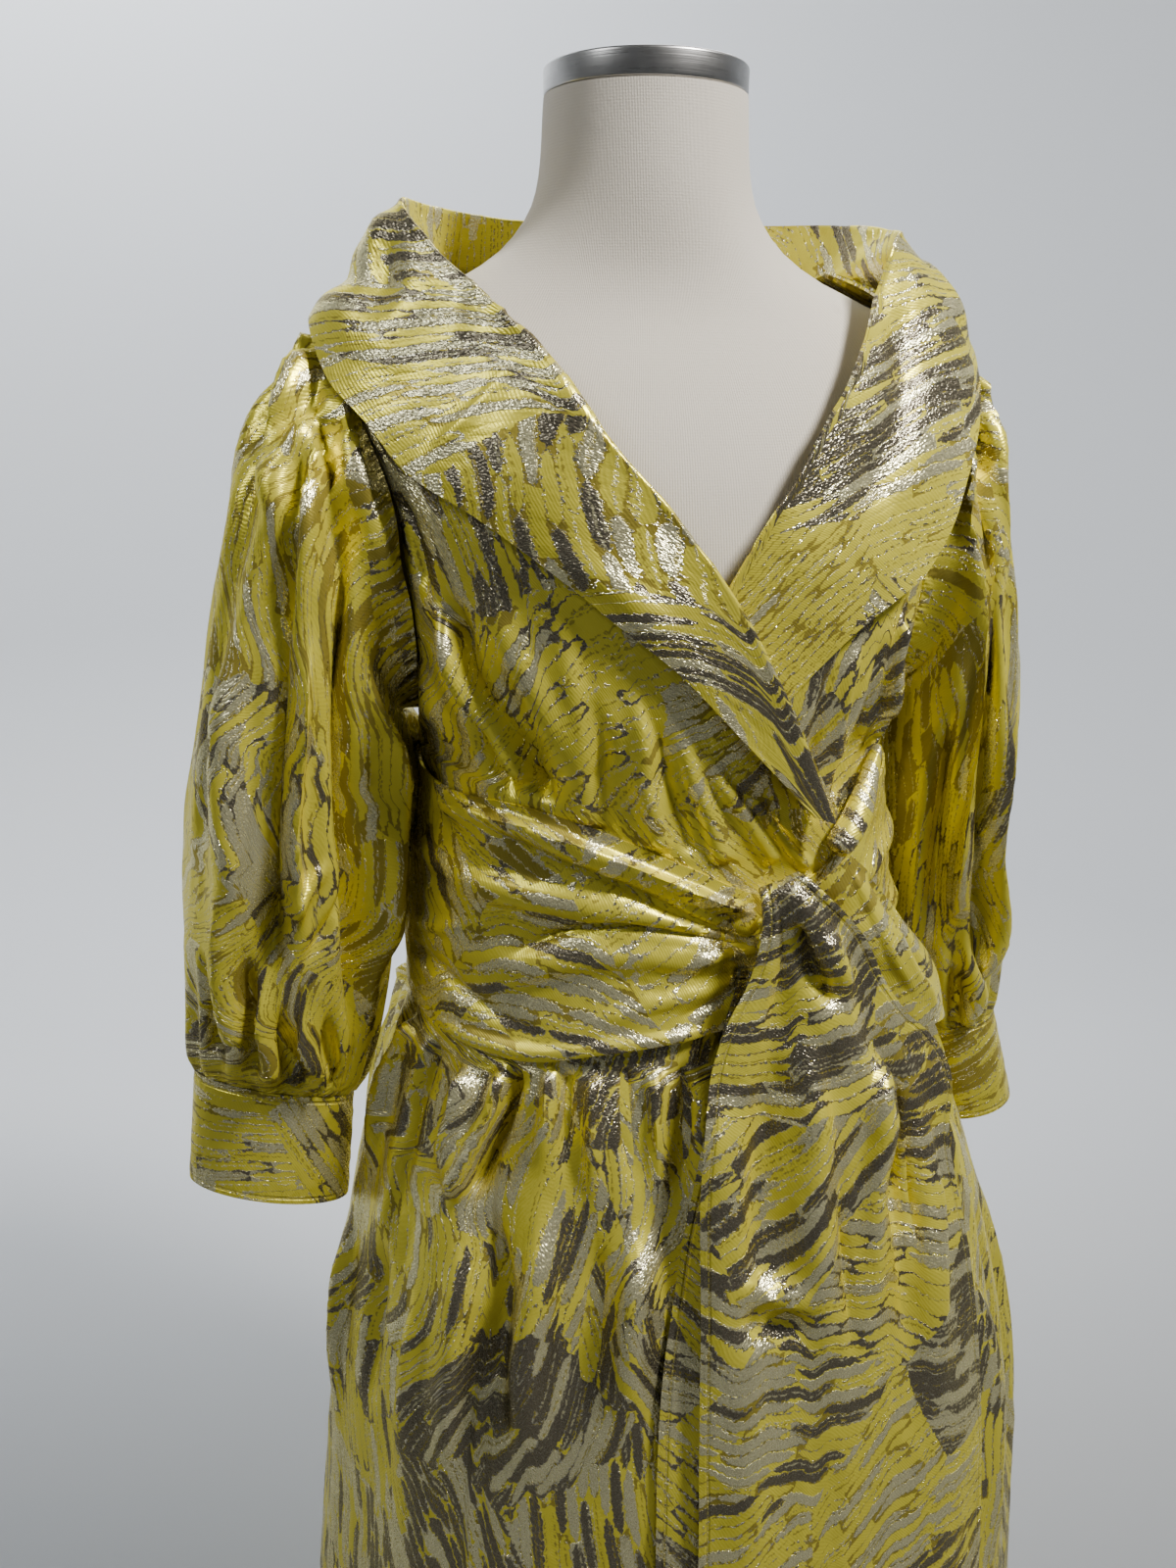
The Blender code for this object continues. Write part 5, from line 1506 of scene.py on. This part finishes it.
for side, name, sleeve_rows, cuff_rows, folds, place, cuff_place in (
    (-1, "right", SLEEVE_RIGHT, CUFF_RIGHT, RIGHT_SLEEVE_CREASES, (6.2, 1.1), (6.6, 0.3)),
    (1, "left", SLEEVE_LEFT, CUFF_LEFT, LEFT_SLEEVE_CREASES, (7.9, 1.6), (8.3, 0.3)),
):
    cut = {"tube": True, "flip": side < 0, "grows": -1.0}
    shape = partial(sleeve_point, sleeve_rows, side)
    sew("puffed_sleeve_" + name, "sleeve_" + name, shape, (200, 92), folds, SLEEVE_CRUMPLE, "gathered",
        ["bodice_" + name], place, (0.0, -0.10, 0.32), **cut)
    shape = partial(sleeve_ring, cuff_rows, side)
    sew("cuff_band_" + name, "cuff_" + name, shape, (120, 24), (), CUFF_CRUMPLE, "stretched",
        ["puffed_sleeve_" + name], cuff_place, (1.3, -0.1), **cut)

# %% [markdown]
# ## The long skirt
# Three panels hang from the waist: the right front wraps over the left one, and the back closes
# them at the sides. Under the sash the cloth is gathered, and the gathers open into flutes on the
# way down. The photograph ends above the knee; from there the flutes run plainly on to the hem.

# %% Hang the skirt panels
HEM = 0.022
WRAP_LIFT = 0.0042
WRAP_RISE_FROM = 84.0
WRAP_RISE_OVER = 34.0
GATHER_COUNT = 22
GATHER_RISE = 0.0055
GATHER_TOP = 0.985
GATHER_STARTS = 0.04
GATHER_ENDS = 0.42
GATHER_FADE = 0.34
GATHER_DRIFT = 0.7
FLUTE_STARTS = 0.06
FLUTE_FADE = 0.75
FLUTE_MEAN = 0.5
# Flutes round the body, their share, their phase
FLUTES = ((9.0, 0.28, 0.8), (14.0, 0.22, -0.6))
SWING_RISE = 0.018
SKIRT_ROWS = 1.8


def skirt_swell(angle, height):
    """Gathers under the sash that open into soft flutes towards the hem."""
    below = GATHER_TOP - height
    turn = np.radians(angle)
    gathered = ease(below / GATHER_STARTS) * ease((GATHER_ENDS - below) / GATHER_FADE)
    wave = 0.5 + 0.5 * np.cos(GATHER_COUNT * turn + GATHER_DRIFT * np.sin(3.0 * turn))
    flutes = FLUTE_MEAN
    for count, share, phase in FLUTES:
        flutes = flutes + share * np.cos(count * turn + phase)
    return GATHER_RISE * gathered * wave + SWING_RISE * flutes * ease((below - FLUTE_STARTS) / FLUTE_FADE)


def skirt_panel(first, last, wrap, across, down):
    """A panel between two angles; at a side seam it stops half a gap short."""
    height = blend(WAIST - WAIST_GAP / 2.0, HEM, down**SKIRT_ROWS)
    gap = seam_angle(height)
    start = first + (gap if first % 180.0 == 90.0 else 0.0)
    end = last - (gap if last % 180.0 == 90.0 else 0.0)
    angle = blend(start, end, across)
    lift = wrap * ease((angle + WRAP_RISE_FROM) / WRAP_RISE_OVER)
    return skin(angle, height, lift + skirt_swell(angle, height))


OVER_SKIRT_CREASES = creases(
    (9.2, 9.4, 1, 10, 50, 15, 26, 8, 32, 7, 38, 9, 44),
    (7.5, -7.2, 0, 10, 50, 23, 26, 21, 32, 21, 38, 22, 44),
    (7.5, 8.7, 1, 12, 40, 32, 27, 32, 31, 30, 37),
    (6.3, 13, -1, 10, 20, 40, 26, 37, 31, 35, 35, 33, 38),
    (5.7, -10.1, 0, 8, 25, 42, 26, 40, 30, 37, 35, 35, 38),
    (5.7, 7.2, 1, 10, 55, 47, 25, 47, 29, 46, 34),
    (4.8, -6.5, 0, 8, 60, 50, 25, 50, 29, 50, 34),
    (6.9, 7.2, -1, 10, 60, 54, 25, 55, 29, 55, 37),
    (5.2, -6.5, 0, 8, 60, 59, 24, 59, 29, 60, 35),
    (6.9, 7.2, 1, 10, 60, 63, 24, 63, 29, 63, 37),
    (5.2, -5.8, 0, 8, 60, 68, 24, 68, 29, 66, 36),
    (13.8, 10.1, -1, 30, 50, 35, 38, 37, 43, 37, 50, 36, 57),
    (10.9, -10.9, 0, 25, 40, 39, 37, 42, 42, 42, 47, 44, 52),
    (12.6, 9.4, 1, 30, 50, 48, 35, 47, 41, 46, 47, 47, 54),
    (10.3, -7.2, 0, 30, 50, 55, 37, 54, 44, 53, 50),
    (11.5, 8.7, 1, 30, 50, 60, 36, 59, 42, 58, 50),
    (11.5, -8.7, 0, 30, 50, 20, 42, 20, 49, 21, 57),
    (11.5, 8.7, -1, 30, 50, 6, 45, 9, 52, 13, 61),
    (11.5, 7.2, 1, 30, 50, 29, 44, 30, 50, 30, 58),
)
UNDER_SKIRT_CREASES = creases(
    (6.9, 8.4, 1, 10, 50, 62, 25, 63, 31, 61, 40),
    (5.7, -7.7, 0, 10, 50, 69, 25, 70, 32, 69, 38),
    (7.5, 8.4, -1, 10, 50, 76, 25, 77, 33, 75, 44),
    (5.7, -7, 0, 10, 50, 84, 25, 85, 31, 85, 36),
    (6.9, 7.7, 1, 10, 50, 92, 25, 93, 33, 91, 42),
    (13.8, 9.8, -1, 30, 50, 66, 42, 68, 55, 66, 72),
    (11.5, -8.4, 0, 30, 50, 80, 40, 79, 54, 81, 76),
    (12.6, 8.4, 1, 30, 50, 90, 44, 92, 60, 90, 80),
)
BACK_SKIRT_CREASES = creases(
    (7.5, 8.4, 1, 10, 50, 6, 25, 7, 32, 5, 42),
    (5.7, -7.7, 0, 10, 50, 14, 25, 15, 31, 15, 38),
    (6.9, 8.4, -1, 10, 50, 22, 25, 22, 34, 24, 46),
    (5.7, -7, 0, 10, 50, 31, 25, 30, 30, 31, 36),
    (7.5, 7.7, 1, 10, 50, 39, 25, 40, 33, 38, 44),
    (6.3, -7, 0, 10, 50, 48, 25, 48, 32, 50, 40),
    (6.9, 9.1, -1, 10, 50, 56, 25, 57, 35, 56, 47),
    (5.7, -7, 0, 10, 50, 66, 25, 65, 31, 66, 37),
    (7.5, 8.4, 1, 10, 50, 75, 25, 76, 34, 74, 43),
    (5.7, -7.7, 0, 10, 50, 85, 25, 84, 32, 86, 40),
    (6.9, 8.4, -1, 10, 50, 94, 25, 93, 33, 94, 45),
    (13.8, 9.8, -1, 30, 50, 18, 42, 20, 58, 18, 80),
    (11.5, -8.4, 0, 30, 50, 44, 44, 43, 60, 45, 82),
    (13.8, 9.8, 1, 30, 50, 62, 42, 64, 56, 62, 74),
    (11.5, -8.4, 0, 30, 50, 82, 43, 80, 58, 82, 78),
)
SKIRT_CRUMPLE = ((0.035, 3.2, 0.0012, 1.0, 0.05), (0.014, 2.2, 0.0005, 7.0, 0.05))
# Name, solid, first and last angle, lift over the panel under it, cells, creases, place, look
SKIRT = (
    ("skirt_right", "skirt_front_right", -90.0, 38.0, WRAP_LIFT, (140, 170), OVER_SKIRT_CREASES,
     (9.1, 2.3), (0.0, 0.17, 0.45)),
    ("skirt_left", "skirt_front_left", -30.0, 90.0, 0.0, (100, 140), UNDER_SKIRT_CREASES,
     (10.6, 3.1), (0.0, 0.15, 0.45)),
    ("skirt_rear", "skirt_back", 90.0, 270.0, 0.0, (150, 130), BACK_SKIRT_CREASES,
     (12.3, 4.4), (0.0, 0.11, 0.5)),
)
for name, node, first, last, wrap, cells, folds, place, look in SKIRT:
    shape = partial(skirt_panel, first, last, wrap)
    sew(name, node, shape, cells, folds, SKIRT_CRUMPLE, "gathered", ["form_jersey"], place, look, flip=True)

# %% [markdown]
# ## The sash
# The sash goes once round the waist, is knotted at the wearer's left and ends in two tails and a
# half bow. The band is a tube that follows the waist with its own crushed folds. The tails and the
# bow are strips between two edges, each edge read from a table, and the roll above the knot is a
# tapered tube of rolled cloth.

# %% Band round the waist
SASH_FRONT_LIFT = 0.0103
SASH_SIDE_LIFT = 0.0048
SASH_DEPTH = 0.15
SASH_RISE_FROM = 98.0
SASH_RISE_OVER = 46.0
SASH_FALL_FROM = 92.0
SASH_FALL_OVER = 24.0
# Crushed folds: start angle and share of the height, end angle and share, width, rise
SASH_FOLDS = table(
    "deg % deg % mm mm",
    (-95, 70, 9, 62, 7.5, 5.5), (-70, 92, 8, 80, 7, 4.5), (-62, 34, 9, 45, 9, 3.2),
    (-30, 8, 9, 25, 8, 1.8), (95, 68, 24, 60, 8, 5), (85, 30, 26, 35, 8, 5),
    (-175, 62, -100, 50, 8, 4.5), (175, 35, 105, 45, 8, 4.5),
)


def sash_lift(angle):
    front = ease((angle + SASH_RISE_FROM) / SASH_RISE_OVER) * ease((SASH_FALL_FROM - angle) / SASH_FALL_OVER)
    return blend(SASH_SIDE_LIFT, SASH_FRONT_LIFT, front)


def sash_point(around, down):
    angle = blend(-180.0, 180.0, around)
    top, bottom = along(SASH_EDGES, angle)
    place = to_flat(angle, (1.0 - down) * SASH_DEPTH)
    lift = sash_lift(angle) + all_ridges(SASH_FOLDS, place, SASH_DEPTH)
    return skin(angle, blend(top, bottom, down), lift)


SASH_CREASES = creases(
    (6, 6, -1, 8, 8, 32, 5, 39, 7, 45, 10, 50, 12, 54, 14),
    (5, -4, 0, 20, 5, 35, 8, 43, 19, 47, 24, 50, 31, 54, 39),
    (14, 2.2, -1, 25, 15, 29, 52, 38, 34, 42, 33, 46, 31, 53, 41),
    (4.5, -4, 0, 30, 5, 38, 66, 41, 53, 44, 45, 47, 40, 50, 40, 54, 45),
    (13, 2.5, 1, 30, 15, 35, 82, 42, 62, 47, 55, 53, 58),
    (7, 1.8, 1, 35, 5, 44, 87, 48, 80, 53, 69),
    (4, -3, 0, 35, 5, 49, 89, 52, 77, 53, 58),
    (3.5, 3, 0, 30, 5, 50, 58, 52, 50, 54, 45),
    (6, -3.5, 0, 15, 40, 28, 81, 33, 77, 38, 84, 42, 90),
    (5, 3, 1, 15, 50, 29, 68, 35, 57, 39, 50),
    (4, 3, 0, 15, 10, 33, 99, 38, 97, 44, 98, 51, 98),
    (30, 4, 0, 30, 30, 25, 5, 25, 50, 25, 95),
)
SASH_CRUMPLE = ((0.030, 0.6, 0.0006, 2.0, 0.08), (0.012, 1.0, 0.0004, 5.0, 0.06))
BODICE_SHEETS = [row[0] for row in BODICE]
sew("sash", "sash_band", sash_point, (300, 54), SASH_CREASES, SASH_CRUMPLE, "folded", BODICE_SHEETS,
    (14.7, 5.2), (1.45, -0.03), tube=True, flip=True)

# %% Tails and half bow
# Share down, left angle height lift, right angle height lift
TAIL_FRONT = table(
    "% deg mm mm deg mm mm",
    (0, 14, 1078.5, 29.3, 21, 1079, 29.7), (3.5, 12.6, 1097, 31, 18.8, 1108, 40),
    (7, 12.2, 1088, 38, 21.5, 1100, 53), (11, 11.2, 1066, 40, 26.5, 1080, 53),
    (16, 8.6, 1040, 38, 31, 1054, 52), (21, 5, 1018, 36, 34, 1026, 51),
    (26, 1.6, 992, 34, 38.5, 999, 50), (30, 0, 972, 32, 44.5, 975, 48),
    (35, -1.6, 944, 30, 46.2, 944, 46), (42, -3, 905, 26, 43, 905, 40),
    (56, -5.2, 790, 20, 40.5, 790, 29), (76, -6.3, 600, 18.5, 37, 600, 20),
    (100, -6.5, 360, 18, 35.5, 360, 18),
)
TAIL_BACK = table(
    "% deg mm mm deg mm mm",
    (0, 10.5, 1040, 12.8, 24, 1040, 12.8), (15, 4.5, 995, 13.2, 31, 995, 14),
    (30, -1, 940, 12, 33, 940, 13), (45, -6.8, 870, 10.5, 34, 870, 11.5),
    (62, -10.5, 790, 10, 32, 790, 11), (82, -11.5, 640, 10, 28, 640, 10.5),
    (100, -12, 420, 10, 26, 420, 10.5),
)
# Folds down the front tail: across at the top, across at the hem, start, end, width, rise
TAIL_FOLDS = table(
    "% % % % % mm",
    (56, 50, 0, 60, 17, 13), (26, 30, 3, 42, 7, -6), (74, 66, 22, 66, 6, -13),
    (12, 14, 30, 100, 7, 3),
)
TAIL_FOLD_STARTS = 0.16
TAIL_FOLD_FADES = 0.3
# Half bow: the strip's columns, then its arch
LOOP = table(
    "% deg mm mm deg mm mm mm",
    (0, 27, 1092, 25, 33.5, 1108, 30.4, 1.5),
    (16, 26.8, 1068, 23.5, 38.5, 1090, 36, 7),
    (40, 29, 1048, 33, 45.5, 1052, 40, 10),
    (75, 36, 1008, 34, 57, 1004, 40, 10),
    (100, 40.5, 982, 34, 56.5, 970, 40, 8),
)


def strip_place(rows, across, down):
    """Angle, height and lift on a strip, between its left and its right edge."""
    values = along(rows, down)
    return blend(values[0:3], values[3:6], across)


def tail_point(rows, folds, across, down):
    angle, height, lift = strip_place(rows, across, down)
    for top_across, hem_across, start, end, width, rise in folds:
        aside = (across - blend(top_across, hem_across, down)) / width
        shown = ease((down - start) / TAIL_FOLD_STARTS) * ease((end - down) / TAIL_FOLD_FADES)
        lift = lift + rise * np.exp(-aside * aside) * shown
    return skin(angle, height, lift + skirt_swell(angle, height))


def bow_point(across, down):
    angle, height, lift = strip_place(LOOP, across, down)
    return skin(angle, height, lift + along(LOOP, down)[6] * np.sin(math.pi * across))


TAIL_CREASES = creases(
    (7, -9, 0, 35, 50, 80, 30, 75, 34, 74, 39, 72, 45, 68, 50),
    (11, 7.2, 1, 20, 50, 77, 28, 60, 32, 58, 39, 55, 47, 52, 54),
    (6, -7.2, 0, 15, 30, 40, 9, 41, 14, 53, 19, 64, 22),
    (9, 3, 1, 20, 30, 59, 11, 59, 16, 73, 21),
    (10, 5, -1, 40, 50, 87, 35, 88, 44, 81, 50, 78, 60),
    (6, -6, 0, 20, 50, 81, 35, 79, 42, 74, 51),
    (8, 6, 1, 30, 30, 8, 47, 23, 48, 37, 49),
    (10, -4.8, 0, 30, 30, 7, 49, 23, 50, 38, 50),
    (10, -4.2, 0, 30, 40, 24, 24, 20, 34, 18, 44, 14, 53),
    (14, 7.2, -1, 20, 50, 47, 22, 38, 32, 38, 44, 39, 55),
    (6, -4.8, 0, 30, 40, 47, 38, 46, 46, 47, 54),
)
BOW_CREASES = creases(
    (5.5, 2, 1, 10, 30, 83, 5, 57, 27, 39, 57, 33, 89),
    (5, -2.5, 0, 10, 30, 98, 11, 81, 39, 53, 79),
    (5, 2, -1, 20, 20, 83, 31, 53, 61, 59, 98),
)
TAIL_CRUMPLE = ((0.035, 2.0, 0.0014, 2.5, 0.04), (0.014, 1.5, 0.0004, 6.0, 0.04))
BOW_CRUMPLE = ((0.02, 1.0, 0.0005, 3.5, 0.08),)
for name, node, shape, cells, folds, crumples, held, place, look in (
    ("sash_tail_front", "tail_front", partial(tail_point, TAIL_FRONT, TAIL_FOLDS), (84, 180),
     TAIL_CREASES, TAIL_CRUMPLE, "hung", (16.2, 6.6), (1.5, 0.17, 0.6)),
    ("sash_tail_rear", "tail_back", partial(tail_point, TAIL_BACK, ()), (48, 100),
     (), TAIL_CRUMPLE, "hung", (17.8, 7.7), (1.4, 0.22, 0.6)),
    ("half_bow", "sash_loop", bow_point, (44, 60),
     BOW_CREASES, BOW_CRUMPLE, "folded", (19.1, 8.3), (0.7, -0.12)),
):
    sew(name, node, shape, cells, folds, crumples, held, ["sash_knot_turn"], place, look, flip=True)

# %% Roll and knot
# Share along the roll, angle, height and lift of its middle, radius
ROLL_PATH = table(
    "% deg mm mm mm",
    (0, 33, 1106, 21, 9), (25, 38, 1117, 20.5, 9.8), (50, 44, 1132, 18.2, 8.5),
    (75, 50, 1148, 15.2, 6), (100, 55, 1162, 13, 3.5),
)
ROLL_END_POWER = 14
ROLL_FOLD_DEPTH = 0.13
ROLL_FOLDS = 1.5
ROLL_TWIST = 2.6
ROLL_FOLD_POWER = 0.6
KNOT_ANGLE = 19.0
KNOT_HEIGHT = 1.063
KNOT_LIFT = 0.0227
KNOT_HALF_WIDTH = 0.018
KNOT_HALF_DEPTH = 0.0097
KNOT_HALF_HEIGHT = 0.019
KNOT_RIDGES = 5
KNOT_RIDGE_RISE = 0.08


def roll_point(around, down):
    """A tube of rolled cloth with spiral folds and closed, rounded ends."""
    angle, height, lift, radius = along(ROLL_PATH, down)
    middle = skin(angle, height, lift)
    ahead = unit(np.gradient(middle, axis=1))
    outward = unit(middle * np.array([1.0, 1.0, 0.0]))
    sideways = unit(np.cross(ahead, outward))
    above = np.cross(sideways, ahead)
    turn = 2.0 * math.pi * around
    closed = np.sqrt(np.clip(1.0 - np.abs(2.0 * down - 1.0) ** ROLL_END_POWER, 0.0, 1.0))
    wave = np.abs(np.sin(ROLL_FOLDS * turn + ROLL_TWIST * down)) ** ROLL_FOLD_POWER
    reach = (radius * closed * (1.0 - ROLL_FOLD_DEPTH * wave))[..., None]
    return middle + (sideways * np.cos(turn)[..., None] + above * np.sin(turn)[..., None]) * reach


def knot_point(around, down):
    """The turn of cloth inside the knot: a ridged, flattened lump."""
    centre = skin(KNOT_ANGLE, KNOT_HEIGHT, KNOT_LIFT)
    outward = unit(skin(KNOT_ANGLE, KNOT_HEIGHT, 2.0 * KNOT_LIFT) - centre)
    sideways = unit(np.cross(np.array([0.0, 0.0, 1.0]), outward))
    upward = np.cross(outward, sideways)
    turn = 2.0 * math.pi * around
    tilt = math.pi * down
    x, y, z = np.sin(tilt) * np.cos(turn), np.sin(tilt) * np.sin(turn), np.cos(tilt)
    ridged = 1.0 + KNOT_RIDGE_RISE * np.cos(KNOT_RIDGES * math.pi * z) * (1.0 - z * z)
    offset = x[..., None] * sideways * KNOT_HALF_WIDTH + z[..., None] * upward * KNOT_HALF_HEIGHT
    return centre + (offset - y[..., None] * outward * KNOT_HALF_DEPTH) * ridged[..., None]


for name, node, shape, cells, place in (
    ("sash_roll_turn", "sash_roll", roll_point, (56, 60), (20.3, 9.2)),
    ("sash_knot_turn", "sash_knot", knot_point, (64, 40), (21.7, 9.9)),
):
    piece = make_sheet(name, shape, cells, tube=True, wall=0.0)[0]
    dress(piece, node, jacquard(node, place, 0.4, -0.12))
    print(node, "faces", len(piece.data.polygons))

# %% [markdown]
# ## The pieces that are shown
# The meshes that are shown are gathered in one list.

# %% Gather the shown pieces
shown = [piece for piece in bpy.data.objects if piece.type == "MESH" and piece.visible_get()]
